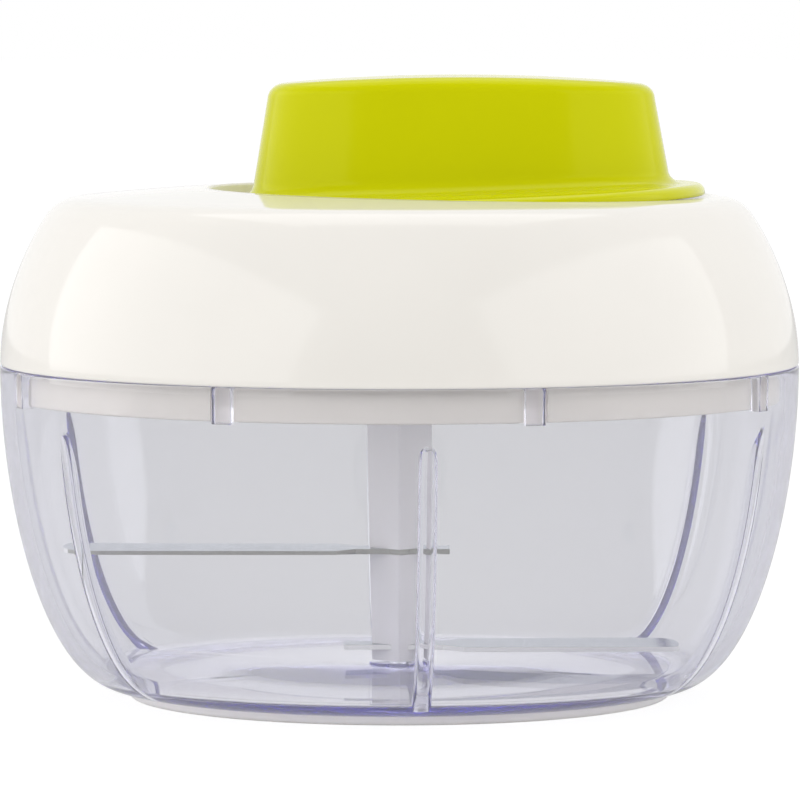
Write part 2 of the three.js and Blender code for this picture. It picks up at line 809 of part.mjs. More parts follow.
function makeSpringCover() {
  const cover = solid(disc(cupRadius, springCoverLevel, cupLevel, roundSteps - smallSteps));
  const hole = solid(disc(arborRadius + 2 * runGap, springCoverLevel - overrun, cupLevel + overrun));
  const { body, holes } = cupLugs(springCoverLevel, cupLevel, smallScrewRadius + runGap);
  return cut(joined(cover, body), hole, ...holes);
}

// Recoil spring: a flat band wound from the arbor out to the cup's wall.
function makeRecoilSpring() {
  const steps = springTurns * smallSteps;
  const inner = arborRadius + seatGap;
  const outer = cupRadius - cupWall - seatGap - springBand;
  const edge = (extra) => Array.from({ length: steps + 1 }, (_, i) => {
    const radius = inner + (outer - inner) * i / steps + extra;
    const angle = 2 * Math.PI * i / smallSteps;
    return new THREE.Vector2(radius * Math.cos(angle), radius * Math.sin(angle));
  });
  const outline = [...edge(springBand), ...edge(0).reverse()];
  const low = (cupLevel + cupTopLevel - cupRoof - springWidth) / 2;
  return solid(plate(outline, low, low + springWidth));
}

// Pull cord: wound on the reel, led up through the guide, and knotted inside the grip.
class Winding extends THREE.Curve {
  getPoint(t, target = new THREE.Vector3()) {
    const angle = cordLeadAngle - (1 - t) * cordTurns * 2 * Math.PI;
    return target.set(
      cordWindRadius * Math.cos(angle),
      cordWindRadius * Math.sin(angle),
      cordStartLevel + t * cordTurns * cordPitch,
    );
  }
}

const leadPlanX = -Math.sin(cordLeadAngle);
const leadPlanY = Math.cos(cordLeadAngle);
const guideExitLevel = dockLevel(guidePlace, dockFloorDepth);

// The guide's axis: a short foot that points at the reel, one bend, and an upright leg.
function guideAxis() {
  const foot = guideBend + guideFoot;
  const corner = new THREE.Vector3(guidePlace, 0, cordLeadLevel);
  const start = corner.clone().add(new THREE.Vector3(-leadPlanX * foot, -leadPlanY * foot, 0));
  const bendStart = corner.clone()
    .add(new THREE.Vector3(-leadPlanX * guideBend, -leadPlanY * guideBend, 0));
  const bendEnd = corner.clone().add(new THREE.Vector3(0, 0, guideBend));
  const end = new THREE.Vector3(guidePlace, 0, guideExitLevel);
  return { start, corner, bendStart, bendEnd, end };
}

function guideCurve(firstPoint, lastPoint) {
  const { corner, bendStart, bendEnd } = guideAxis();
  const path = new THREE.CurvePath();
  path.add(new THREE.LineCurve3(firstPoint, bendStart));
  path.add(new THREE.QuadraticBezierCurve3(bendStart, corner, bendEnd));
  path.add(new THREE.LineCurve3(bendEnd, lastPoint));
  return path;
}

function makeCordGuide() {
  const { start, end } = guideAxis();
  const tube = alongCurve(guideCurve(start, end), guideRadius, guideBore, 10, 10);
  const collarTop = dockLevel(guidePlace - guideCollarRadius, dockUnderDepth) - seatGap;
  const collar = pipe(
    (guideBore + guideRadius) / 2, guideCollarRadius, collarTop - guideCollarHeight, collarTop,
  ).translate(guidePlace, 0, 0);
  return joined(solid(tube), solid(collar));
}

function makeCordLead() {
  const { end } = guideAxis();
  const tangentPoint = new THREE.Vector3(
    cordWindRadius * Math.cos(cordLeadAngle),
    cordWindRadius * Math.sin(cordLeadAngle),
    cordLeadLevel,
  );
  const along = new THREE.Vector3(leadPlanX, leadPlanY, 0).multiplyScalar(seatGap);
  return solid(alongCurve(guideCurve(tangentPoint.add(along), end), cordRadius, 0, 8, 16));
}

const pullDirection = new THREE.Vector3(Math.cos(radians(pullRise)), 0, Math.sin(radians(pullRise)));

function makeCordEnd() {
  const exit = new THREE.Vector3(guidePlace, 0, guideExitLevel);
  const start = exit.clone().addScaledVector(pullDirection, cordRadius + seatGap);
  const knot = exit.clone().addScaledVector(pullDirection, cordStub);
  const stub = alongCurve(new THREE.LineCurve3(start, knot), cordRadius, 0, 8, 1);
  const ball = new THREE.SphereGeometry(cordKnotRadius, 12, 8).translate(knot.x, knot.y, knot.z);
  return joined(solid(stub), solid(ball));
}

// Grip: a long, drafted body with rounded ends, which flares out into a round flange.
function gripRing(inset, share, topLevel) {
  const length = gripHalfLength - inset;
  const depth = gripHalfDepth - inset;
  const power = 2 / gripRoundness;
  return Array.from({ length: roundSteps }, (_, i) => {
    const angle = i * 2 * Math.PI / roundSteps;
    const x = length * Math.sign(Math.cos(angle)) * Math.abs(Math.cos(angle)) ** power;
    const y = depth * Math.sign(Math.sin(angle)) * Math.abs(Math.sin(angle)) ** power;
    const top = topLevel - gripTopArch * (x / gripHalfLength) ** 2;
    const low = dockLevel(gripOffset + x);
    return new THREE.Vector3(gripOffset + x, y, low + (top - low) * share);
  });
}

// The body up to its top edge fillet, which lies over the rings given for its foot.
function gripBody(footRings, wall, topLevel) {
  const height = topLevel - flangeLevel;
  const edge = gripTopEdge - wall / 2;
  const edgeRings = quarter((sine, cosine) => gripRing(
    wall + gripDraft + edge * (1 - cosine), 1 - edge * (1 - sine) / height, topLevel,
  ));
  return solid(skin([...footRings, ...edgeRings]));
}

function quarter(make) {
  return Array.from({ length: edgeSteps + 1 }, (_, i) => {
    const angle = i * Math.PI / 2 / edgeSteps;
    return make(Math.sin(angle), Math.cos(angle));
  });
}

function makeGripShell() {
  const flange = solid(intoDock(turnedCore([
    [0, -flangeThickness],
    [flangeRadius, -flangeThickness],
    [flangeRadius, -flangeEdge],
    [flangeRadius - flangeEdge, 0],
    [0, 0],
  ])));
  const flare = quarter((sine, cosine) => gripRing(
    -gripFillet * (1 - sine), gripFillet * (1 - cosine) / gripHeight, gripTopLevel,
  ));
  const foot = gripRing(-gripFillet, -flangeThickness / 2 / gripHeight, gripTopLevel);
  const body = gripBody([foot, ...flare], 0, gripTopLevel);
  const mouth = [-2 * dockUnderDepth, 2 * underplateTop].map((level) => gripRing(
    gripWall, level / gripHeight, gripTopLevel - gripWall,
  ));
  const hollow = gripBody(mouth, gripWall, gripTopLevel - gripWall);
  const bosses = gripBossPlaces().map(([x, low]) => solid(pipe(
    smallScrewRadius + runGap, gripBossRadius, low, gripTopLevel - gripWall,
  ).translate(x, 0, 0)));
  return joined(cut(joined(flange, body), hollow), ...bosses);
}

// Each boss of the grip: its place and the level of its foot, just over the underplate.
function gripBossPlaces() {
  return [-gripBossPlace, gripBossPlace].map((side) => {
    const x = gripOffset + side;
    return [x, dockLevel(x + gripBossRadius, -underplateTop) + seatGap];
  });
}

function gripScrewSeat(x) {
  return dockLevel(x - smallScrewHeadRadius, flangeThickness) + smallScrewHeadHeight + runGap;
}

function makeUnderplate() {
  const rim = gripWall + seatGap;
  const slab = solid(skin([
    gripRing(rim, -flangeThickness / gripHeight, gripTopLevel),
    gripRing(rim, underplateTop / gripHeight, gripTopLevel),
  ]));
  const holes = gripBossPlaces().flatMap(([x, low]) => [
    solid(disc(smallScrewRadius + runGap, low - 2 * underplateThickness, low + overrun).translate(x, 0, 0)),
    solid(disc(smallScrewHeadRadius + runGap, low - 2 * underplateThickness, gripScrewSeat(x))
      .translate(x, 0, 0)),
  ]);
  const exit = new THREE.Vector3(guidePlace, 0, guideExitLevel);
  const cordHole = alongCurve(new THREE.LineCurve3(
    exit.clone().addScaledVector(pullDirection, -cordKnotRadius),
    exit.clone().addScaledVector(pullDirection, 2 * underplateThickness),
  ), cordRadius + 2 * runGap, 0, 16, 1);
  return cut(slab, ...holes, solid(cordHole));
}

addPiece('bowl', makeBowl(), clearColour, 0.08, 0);
addPiece('base_ring', makeBaseRing(), milkyColour, 0.5, 0);
addPiece('pivot_pin', makePivotPin(), steelColour, 0.25, 1);
addPiece('blade_shaft', makeShaft(), paleColour, 0.4, 0);
addPiece('upper_blade', makeBlade(upperBladeTipGap, upperBladeStub, upperBladeHeight, 180, false),
  steelColour, 0.2, 1);
addPiece('lower_blade', makeBlade(lowerBladeTipGap, lowerBladeStub, lowerBladeHeight, 0, true),
  steelColour, 0.2, 1);
addPiece('lid_cover', makeLidCover(), whiteColour, 0.15, 0);
addPiece('lid_base', makeLidBase(), whiteColour, 0.3, 0);
ringOf(lidBossCount, lidBossPhase, (angle, i) => addPiece(`lid_screw_${i + 1}`, placed(
  makeScrew(lidScrewHeadRadius, lidScrewHeadHeight, lidScrewRadius, lidScrewLength, lidScrewSeat),
  lidBossPlace, angle,
), steelColour, 0.3, 1));
addPiece('drive_hub', makeDriveHub(), greyColour, 0.4, 0);
ringOf(pawlCount, 0, (angle, i) => addPiece(`pawl_${i + 1}`, makePawl(angle), acetalColour, 0.4, 0));
addPiece('cord_reel', makeReel(), acetalColour, 0.4, 0);
addPiece('reel_spindle', makeSpindle(), steelColour, 0.25, 1);
addPiece('reel_washer', makeWasher(), steelColour, 0.3, 1);
addPiece('reel_screw', makeSpindleScrew(), steelColour, 0.3, 1);
addPiece('spring_cup', makeSpringCup(), greyColour, 0.45, 0);
addPiece('spring_cover', makeSpringCover(), greyColour, 0.45, 0);
addPiece('recoil_spring', makeRecoilSpring(), springColour, 0.3, 1);
ringOf(cupLugCount, cupLugPhase, (angle, i) => addPiece(`spring_screw_${i + 1}`, placed(
  makeScrew(smallScrewHeadRadius, smallScrewHeadHeight, smallScrewRadius, smallScrewLength,
    springCoverLevel),
  cupLugPlace, angle,
), steelColour, 0.3, 1));
addPiece('cord_guide', makeCordGuide(), acetalColour, 0.35, 0);
addPiece('cord_winding', solid(alongCurve(
  new Winding(), cordRadius, 0, 6, Math.round(cordTurns * windingSteps),
)), cordColour, 0.8, 0);
addPiece('cord_lead', makeCordLead(), cordColour, 0.8, 0);
addPiece('cord_end', makeCordEnd(), cordColour, 0.8, 0);
addPiece('grip_shell', makeGripShell(), greenColour, 0.18, 0);
addPiece('grip_underplate', makeUnderplate(), greyColour, 0.45, 0);
gripBossPlaces().forEach(([x], i) => addPiece(`grip_screw_${i + 1}`, solid(
  makeScrew(smallScrewHeadRadius, smallScrewHeadHeight, smallScrewRadius, smallScrewLength,
    gripScrewSeat(x)).translate(x, 0, 0),
), steelColour, 0.3, 1));

export default chopper;
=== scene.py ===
# %% [markdown]
# # A pull-cord food chopper
# The real object is a clear bowl with two thin blades on an upright shaft, a deep white lid
# that holds a sprung cord reel, and a green grip that is docked off centre in the lid.
# Pulling the grip unwinds the cord and spins the blades.
# The engineering model comes in first as a fixed frame. Each looks piece is then modelled
# around it in the same place, in metres, and rides on the body that carries the real part.

import math

import bmesh
import bpy
from mathutils import Matrix, Vector
from mathutils.geometry import interpolate_bezier


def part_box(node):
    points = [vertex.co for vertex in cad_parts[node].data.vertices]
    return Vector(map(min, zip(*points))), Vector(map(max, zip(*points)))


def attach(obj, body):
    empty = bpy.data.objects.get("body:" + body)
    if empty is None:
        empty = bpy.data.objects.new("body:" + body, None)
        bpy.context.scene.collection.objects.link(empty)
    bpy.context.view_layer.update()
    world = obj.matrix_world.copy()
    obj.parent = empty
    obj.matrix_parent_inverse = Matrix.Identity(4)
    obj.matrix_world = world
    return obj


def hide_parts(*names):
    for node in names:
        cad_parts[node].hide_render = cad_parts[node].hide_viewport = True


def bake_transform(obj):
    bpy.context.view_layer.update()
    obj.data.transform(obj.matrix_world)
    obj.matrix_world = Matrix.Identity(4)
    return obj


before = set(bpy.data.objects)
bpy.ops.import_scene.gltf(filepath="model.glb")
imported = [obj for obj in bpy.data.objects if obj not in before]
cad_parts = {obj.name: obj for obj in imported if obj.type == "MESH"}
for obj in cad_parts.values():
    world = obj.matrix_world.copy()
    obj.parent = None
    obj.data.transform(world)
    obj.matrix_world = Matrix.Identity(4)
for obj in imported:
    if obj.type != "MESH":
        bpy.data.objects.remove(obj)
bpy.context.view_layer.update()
MM = 0.001
TURN = 2 * math.pi

# %% [markdown]
# ## The camera
# The photograph was taken from nearly a metre away with a long lens, a little above the lid's
# top and tilted four degrees down. A long lens keeps the bowl's upright lines upright. The
# same distance and tilt are set here, because a shorter lens would show more of the lid's top.

# %% Set up the camera
CAMERA_PLACE = (0.0, -0.97676, 0.11205)
CAMERA_TILT = 0.0687
camera_data = bpy.data.cameras.new("studio_camera")
camera_data.lens = 290.3
camera_data.sensor_width = 36
camera_data.shift_x = 0.0006
camera_data.clip_start = 0.05
camera = bpy.data.objects.new("studio_camera", camera_data)
camera.location = CAMERA_PLACE
camera.rotation_euler = (math.pi / 2 - CAMERA_TILT, 0, 0)
scene = bpy.context.scene
scene.collection.objects.link(camera)
scene.camera = camera
print("camera", round(-CAMERA_PLACE[1], 3), "m in front of the bowl")

# %% [markdown]
# ## Tools that every piece uses
# Most parts of a chopper are moulded in round tools, so their shape is one outline turned
# about the upright axis. The outline is written in millimetres as (radius, height) points.
# A moulded part has no razor-sharp corner, so a corner may carry a rounding as a third number.
# Blender's spin operator then makes the surface, which is quicker and cleaner than lathing
# with a modifier, because the mesh is final at once.

# %% Round the corners of an outline
CORNER_STEPS = 4


def softened(corners):
    """An outline whose corners with a third number are rounded by it, as a radius."""
    outline = []
    for i, corner in enumerate(corners):
        here = Vector(corner[:2])
        if len(corner) < 3:
            outline.append(here)
            continue
        back = (Vector(corners[i - 1][:2]) - here).normalized()
        ahead = (Vector(corners[(i + 1) % len(corners)][:2]) - here).normalized()
        opening = back.angle(ahead)
        reach = corner[2] / math.tan(opening / 2)
        pull = corner[2] * 4 / 3 * math.tan((math.pi - opening) / 4)
        start, end = here + back * reach, here + ahead * reach
        arc = interpolate_bezier(
            start.to_3d(), (start - back * pull).to_3d(),
            (end - ahead * pull).to_3d(), end.to_3d(), CORNER_STEPS + 1)
        outline += [point.to_2d() for point in arc]
    return outline


def curve_points(start, pull_out, pull_in, end, steps):
    """Points on one smooth curve between two outline points."""
    corners = [Vector(point).to_3d() for point in (start, pull_out, pull_in, end)]
    return [point.to_2d() for point in interpolate_bezier(*corners, steps + 1)]


def beside(points, distance):
    """The same outline, a wall's thickness further in."""
    moved = []
    for i, point in enumerate(points):
        run = points[min(i + 1, len(points) - 1)] - points[max(i - 1, 0)]
        run.normalize()
        moved.append(point + Vector((-run.y, run.x)) * distance)
    return moved


# %% [markdown]
# A turned surface gets 160 steps unless a piece asks for another number. The widest rim is
# then only about a hundredth of a millimetre off a true circle. An outline that begins and
# ends on the axis stays open, because the axis closes it.

# %% Turn an outline about the upright axis
ROUND_STEPS = 160


def turned(outline, steps=ROUND_STEPS, closed=True, bm=None, centre=(0, 0)):
    bm = bm or bmesh.new()
    x, y = centre
    verts = [bm.verts.new(((x + r) * MM, y * MM, z * MM)) for r, z in outline]
    pairs = list(zip(verts, verts[1:]))
    if closed:
        pairs.append((verts[-1], verts[0]))
    edges = [bm.edges.new(pair) for pair in pairs]
    bmesh.ops.spin(bm, geom=verts + edges, cent=(x * MM, y * MM, 0), axis=(0, 0, 1),
                   dvec=(0, 0, 0), angle=TURN, steps=steps, use_merge=True,
                   use_normal_flip=False, use_duplicate=False)
    return bm


def tidied(bm):
    """Merge the points that a spin leaves on the axis, and turn the faces outwards."""
    bmesh.ops.remove_doubles(bm, verts=bm.verts, dist=0.0005 * MM)
    bmesh.ops.dissolve_degenerate(bm, edges=bm.edges, dist=0.0002 * MM)
    bmesh.ops.recalc_face_normals(bm, faces=bm.faces)
    return bm


# %% [markdown]
# Two closed shapes are joined, or one is cut from another, with the exact Boolean. The parts
# of a clear bowl have to be one skin: where a rib only stood in the wall, light would bend
# twice at a border that the real bowl doesn't have.

# %% Join and cut closed shapes


def shape_object(bm):
    mesh = bpy.data.meshes.new("shape")
    tidied(bm).to_mesh(mesh)
    bm.free()
    shape = bpy.data.objects.new("shape", mesh)
    scene.collection.objects.link(shape)
    return shape


def combined(bm, tool, operation):
    base, other = shape_object(bm), shape_object(tool)
    step = base.modifiers.new("combine", "BOOLEAN")
    step.operation = operation
    step.solver = "EXACT"
    step.object = other
    result = bmesh.new()
    result.from_object(base, bpy.context.evaluated_depsgraph_get())
    for used in (base, other):
        mesh = used.data
        bpy.data.objects.remove(used, do_unlink=True)
        bpy.data.meshes.remove(mesh)
    return result


def rod(bm, place, radius, low, high, sides=32):
    """A plain upright rod, as a tool for holes and bosses."""
    x, y = place
    middle = Matrix.Translation((x * MM, y * MM, (low + high) / 2 * MM))
    bmesh.ops.create_cone(bm, cap_ends=True, segments=sides, radius1=radius * MM,
                          radius2=radius * MM, depth=(high - low) * MM, matrix=middle)
    return bm


def bar(bm, place, size, low, high, turn=0):
    """A plain upright bar, turned about the chopper's axis."""
    matrix = (Matrix.Rotation(math.radians(turn), 4, "Z")
              @ Matrix.Translation((place * MM, 0, (low + high) / 2 * MM))
              @ Matrix.Diagonal((size[0] * MM, size[1] * MM, (high - low) * MM, 1)))
    bmesh.ops.create_cube(bm, size=1, matrix=matrix)
    return bm


def bevelled(bm, edges, offset, segments):
    bmesh.ops.bevel(bm, geom=edges, offset=offset * MM, offset_type="OFFSET",
                    segments=segments, profile=0.5, material=-1, affect="EDGES")


def swung(bm, turn, axis="Z"):
    """Turn a whole shape about an axis through the origin, by some degrees."""
    bmesh.ops.rotate(bm, verts=bm.verts, cent=(0, 0, 0),
                     matrix=Matrix.Rotation(math.radians(turn), 3, axis))
    return bm


def pushed(bm, face):
    """Extrude one face. Gives the new face and its points, which are still in the old place."""
    grown = bmesh.ops.extrude_face_region(bm, geom=[face, *face.edges])["geom"]
    verts = [part for part in grown if isinstance(part, bmesh.types.BMVert)]
    return next(part for part in grown if isinstance(part, bmesh.types.BMFace)), verts


# %% [markdown]
# A finished piece is smooth-shaded, with a hard line kept only where two faces meet at a
# clear angle. It rides on its body, and the engineering parts it stands for are hidden. The
# printed line counts the edges that don't join exactly two faces: a closed skin has none.


def finished(name, bm, body, *nodes, material=None, crease=30):
    bm = tidied(bm)
    for face in bm.faces:
        face.smooth = True
    for edge in bm.edges:
        edge.smooth = edge.calc_face_angle(0) < math.radians(crease)
    faults = sum(len(edge.link_faces) != 2 for edge in bm.edges)
    mesh = bpy.data.meshes.new(name)
    bm.to_mesh(mesh)
    bm.free()
    piece = bpy.data.objects.new(name, mesh)
    scene.collection.objects.link(piece)
    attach(piece, body)
    if nodes:
        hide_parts(*nodes)
    if material:
        mesh.materials.append(material)
    print(name, len(mesh.polygons), "faces,", faults, "edges that don't join two faces")
    return piece


# %% [markdown]
# ## Finishes
# A moulded plastic is nearly one colour, but never quite: the melt leaves faint clouds in it,
# and even a polished mould leaves a slight waviness that only shows in reflections. Each
# plastic here is made by one recipe: clouds in the colour, a small spread in the roughness,
# and a bump, all read from the object's own coordinates so that they keep their real scale.

# %% The recipe for moulded plastic


def new_material(name):
    material = bpy.data.materials.new(name)
    material.use_nodes = True
    tree = material.node_tree
    return material, tree, tree.nodes["Principled BSDF"]


def new_node(tree, kind, **values):
    """A node with some sockets set. An underscore stands for the space in a socket's name."""
    node = tree.nodes.new("ShaderNode" + kind)
    set_sockets(node, **values)
    return node


def set_sockets(node, **values):
    for name, value in values.items():
        node.inputs[name.replace("_", " ")].default_value = value


def noise(tree, scale, detail=2.0, stretch=None):
    """Noise on the object's own coordinates, so many grains to the metre."""
    source = new_node(tree, "TexCoord").outputs["Object"]
    texture = new_node(tree, "TexNoise", Scale=scale, Detail=detail)
    if stretch:
        mapping = new_node(tree, "Mapping", Scale=stretch)
        tree.links.new(source, mapping.inputs["Vector"])
        source = mapping.outputs["Vector"]
    tree.links.new(source, texture.inputs["Vector"])
    return texture.outputs["Fac"]


def spread(tree, value, low, high):
    """Stretch the middle of a noise over a range of values."""
    ramp = new_node(tree, "MapRange", From_Min=0.3, From_Max=0.7, To_Min=low, To_Max=high)
    tree.links.new(value, ramp.inputs["Value"])
    return ramp.outputs["Result"]


def two_colours(tree, shader, one, other, share):
    """A base colour that goes from one to the other with a value."""
    mix = new_node(tree, "Mix")
    mix.data_type = "RGBA"
    set_sockets(mix, A=(*one, 1), B=(*other, 1))
    tree.links.new(share, mix.inputs["Factor"])
    tree.links.new(mix.outputs["Result"], shader.inputs["Base Color"])


def clouded(tree, shader, colour, depth, scale):
    """The base colour, with clouds that are darker by a small share."""
    darker = [part * (1 - depth) for part in colour]
    two_colours(tree, shader, colour, darker, spread(tree, noise(tree, scale), 0, 1))


def bumped(tree, shader, value, strength, height):
    bump = new_node(tree, "Bump", Strength=strength, Distance=height * MM)
    tree.links.new(value, bump.inputs["Height"])
    tree.links.new(bump.outputs["Normal"], shader.inputs["Normal"])


CLOUD_SCALE = 35


def moulded_plastic(name, colour, roughness, grain, grain_height,
                    clouds=0.03, gloss=0.5, sheen=(1, 1, 1)):
    """Grain is counted to the metre and its height is in mm. Sheen colours the reflections."""
    material, tree, shader = new_material(name)
    clouded(tree, shader, colour, clouds, CLOUD_SCALE)
    rough = spread(tree, noise(tree, CLOUD_SCALE * 3), roughness * 0.85, roughness * 1.15)
    tree.links.new(rough, shader.inputs["Roughness"])
    bumped(tree, shader, noise(tree, grain), 0.5, grain_height)
    set_sockets(shader, Specular_IOR_Level=gloss, Specular_Tint=(*sheen, 1))
    return material


# %% [markdown]
# The lid is high-gloss white, and the grip high-gloss lime green: both have a mould polish,
# so their grain is a long, very shallow wave, as on an orange's skin. The lid's skirt, the
# shaft and the reel parts come from plainer moulds, with a finer and slightly deeper grain.
# The green's reflections are kept weaker and a little green, or they would wash its colour out.

# %% The opaque plastics
white_gloss = moulded_plastic(
    "lid_white_gloss", (0.83, 0.802, 0.755), 0.075, 90, 0.005,
    gloss=0.42)
white_satin = moulded_plastic(
    "skirt_white_satin", (0.96, 0.91, 0.82), 0.32, 900, 0.01)
grip_green = moulded_plastic(
    "grip_lime_gloss", (0.6, 0.61, 0.0), 0.13, 110, 0.003,
    clouds=0.04, gloss=0.24, sheen=(0.95, 1.0, 0.35))
shaft_grey = moulded_plastic(
    "shaft_pale_grey", (0.86, 0.845, 0.86), 0.35, 1100, 0.012)
inner_grey = moulded_plastic(
    "inner_grey", (0.36, 0.37, 0.39), 0.42, 1100, 0.012)
natural_acetal = moulded_plastic(
    "natural_acetal", (0.82, 0.81, 0.77), 0.38, 700, 0.01)

# %% [markdown]
# The ring under the bowl is a soft, milky rubber. Light goes a little way into it and comes
# out again, so it gets some subsurface scattering, and its skin is dull.

# %% The milky rubber
milky_rubber, tree, shader = new_material("ring_milky_rubber")
clouded(tree, shader, (0.88, 0.86, 0.82), 0.05, 60)
tree.links.new(spread(tree, noise(tree, 400), 0.42, 0.55), shader.inputs["Roughness"])
bumped(tree, shader, noise(tree, 1500), 0.4, 0.02)
set_sockets(shader, Subsurface_Weight=0.3, Subsurface_Radius=(1, 0.9, 0.85),
            Subsurface_Scale=2 * MM)
print("finish:", milky_rubber.name)

# %% [markdown]
# The bowl is clear styrene-like plastic. It has a faint violet tint that only shows where
# light runs a long way inside it: along the rim, the ribs and the foot. So the surface itself
# has next to no colour, and the violet comes from a Volume Absorption, which darkens light by
# the length of its path. The surface lets 96 of 100 parts through, and the rest is a slight
# haze, as on a bowl that has been wiped many times. Lamp rays pass straight through, as they
# nearly do in a thin clear wall, so that the blades and shaft inside stay lit.

# %% The clear plastic


def either(tree, output, share, one, other):
    """The output shows one shader where the share is 0, and the other where it is 1."""
    choice = new_node(tree, "MixShader")
    tree.links.new(share, choice.inputs["Fac"])
    tree.links.new(one.outputs[0], choice.inputs[1])
    tree.links.new(other.outputs[0], choice.inputs[2])
    tree.links.new(choice.outputs["Shader"], output.inputs["Surface"])


clear_plastic, tree, shader = new_material("bowl_clear")
set_sockets(shader, Base_Color=(0.995, 1.0, 0.98, 1), Roughness=0.0, IOR=1.5,
            Transmission_Weight=0.96)
bumped(tree, shader, noise(tree, 45), 0.25, 0.012)
path = new_node(tree, "LightPath")
passing = new_node(tree, "BsdfTransparent", Color=(1, 1, 1, 1))
output = tree.nodes["Material Output"]
either(tree, output, path.outputs["Is Shadow Ray"], shader, passing)
tint = new_node(tree, "VolumeAbsorption", Color=(0.53, 0.5, 0.96, 1), Density=46)
tree.links.new(tint.outputs["Volume"], output.inputs["Volume"])
print("finish:", clear_plastic.name)

# %% [markdown]
# Steel comes in three finishes here: the ground blades, the turned pins and screws, and the
# blued spring strip. Grinding leaves fine lines along one direction, so the noise for the
# roughness and the bump is squeezed across that direction. A blade has three faces of its
# own: smooth flats, a back painted matt white as a highlight, and a dull land in painted shade.

# %% The steels
BLADE_LINES = (60, 2, 10)


def ground_steel(name, colour, roughness, stretch, metallic=1.0, sheen=(1, 1, 1)):
    material, tree, shader = new_material(name)
    clouded(tree, shader, colour, 0.06, 50)
    lines = noise(tree, 60, 3.0, stretch)
    tree.links.new(spread(tree, lines, roughness * 0.7, roughness * 1.3),
                   shader.inputs["Roughness"])
    bumped(tree, shader, lines, 0.4, 0.004)
    set_sockets(shader, Metallic=metallic, Specular_Tint=(*sheen, 1))
    return material


blade_steel = ground_steel("blade_ground_steel", (0.62, 0.635, 0.65), 0.18,
                           BLADE_LINES, sheen=(0.77, 0.79, 0.82))
# The blade's back is painted near-white and not metallic, as a painted highlight. The land is
# painted dark grey, as painted shade.
back_painted_highlight = ground_steel("blade_back_painted_highlight", (0.98, 0.98, 0.96), 0.5,
                          BLADE_LINES, metallic=0.0)
land_painted_shade = ground_steel("blade_land_painted_shade", (0.37, 0.37, 0.34), 0.45,
                          BLADE_LINES)
turned_steel = ground_steel("turned_steel", (0.66, 0.67, 0.68), 0.28, (4, 4, 60))
spring_steel = ground_steel("spring_strip", (0.36, 0.38, 0.42), 0.3,
                            (4, 4, 80))

# %% [markdown]
# The pull cord is braided polyester: strands cross in two directions round the cord. The
# braid is two sets of slanted waves, multiplied, in coordinates that run along the cord and
# round it. They are worked out from the object's coordinates, so that the braid keeps its
# size when the cord is drawn out.

# %% The braided cord
PULL_TILT = math.pi / 4
PULL = Vector((1, 0, 1)).normalized()
CORD_EXIT = Vector((30.0, 0.0, 75.23)) * MM
STRANDS_ROUND = 4
STRAND_WAVES = 3500


def arithmetic(tree, operation, *values):
    step = new_node(tree, "Math")
    step.operation = operation
    for socket, value in zip(step.inputs, values):
        if isinstance(value, (int, float)):
            socket.default_value = value
        else:
            tree.links.new(value, socket)
    return step.outputs["Value"]


def braided_cord(name, centre, turn):
    material, tree, shader = new_material(name)
    place = new_node(tree, "TexCoord")
    mapping = new_node(tree, "Mapping")
    mapping.vector_type = "TEXTURE"
    set_sockets(mapping, Location=centre, Rotation=turn)
    tree.links.new(place.outputs["Object"], mapping.inputs["Vector"])
    parts = new_node(tree, "SeparateXYZ")
    tree.links.new(mapping.outputs["Vector"], parts.inputs["Vector"])
    along = arithmetic(tree, "MULTIPLY", parts.outputs["Z"], STRAND_WAVES)
    angle = arithmetic(tree, "ARCTAN2", parts.outputs["Y"], parts.outputs["X"])
    round_it = arithmetic(tree, "MULTIPLY", angle, STRANDS_ROUND)
    one = arithmetic(tree, "SINE", arithmetic(tree, "ADD", along, round_it))
    other = arithmetic(tree, "SINE", arithmetic(tree, "SUBTRACT", along, round_it))
    braid = arithmetic(tree, "MULTIPLY_ADD", arithmetic(tree, "MULTIPLY", one, other), 0.5, 0.5)
    # The colour is darker where the braid's bump is low: painted shade in the hollows between
    # the strands.
    two_colours(tree, shader, (0.62, 0.60, 0.54), (0.86, 0.84, 0.78), braid)
    set_sockets(shader, Roughness=0.75, Sheen_Weight=0.3)
    bumped(tree, shader, braid, 0.8, 0.12)
    return material


cord_wound = braided_cord("cord_braid_wound", (0, 0, 0), (0, 0, 0))
cord_pulled = braided_cord("cord_braid_pulled", CORD_EXIT, (0, PULL_TILT, 0))

# %% [markdown]
# ## The bowl
# The bowl is injection moulded and swells from a narrow foot to a wide upright rim. Its
# outline is one smooth curve, and the inner wall runs beside it, two millimetres in.
# Underneath, a shallow groove takes the rubber ring, and a low boss in the floor holds the
# pivot pin.

# %% The bowl's outline
BOWL_RIM = (60.5, 50.4)
BOWL_WALL = 2.0
FLOOR = 4.1
FLOOR_ROUND = 1.6
GROOVE_INNER, GROOVE_OUTER, GROOVE_TOP = 36.4, 41.2, 2.1
BOSS_RADIUS, BOSS_TOP = 4.6, 4.7
SEAT_RADIUS, SEAT_LOW = 1.6, 2.2
FOOT = 1.5
bowl_side = curve_points((42.6, FOOT), (54.1, 2.2), (60.5, 29.6), BOWL_RIM, 44)
bowl_inner = [point for point in beside(bowl_side, BOWL_WALL) if point.y > FLOOR + FLOOR_ROUND]


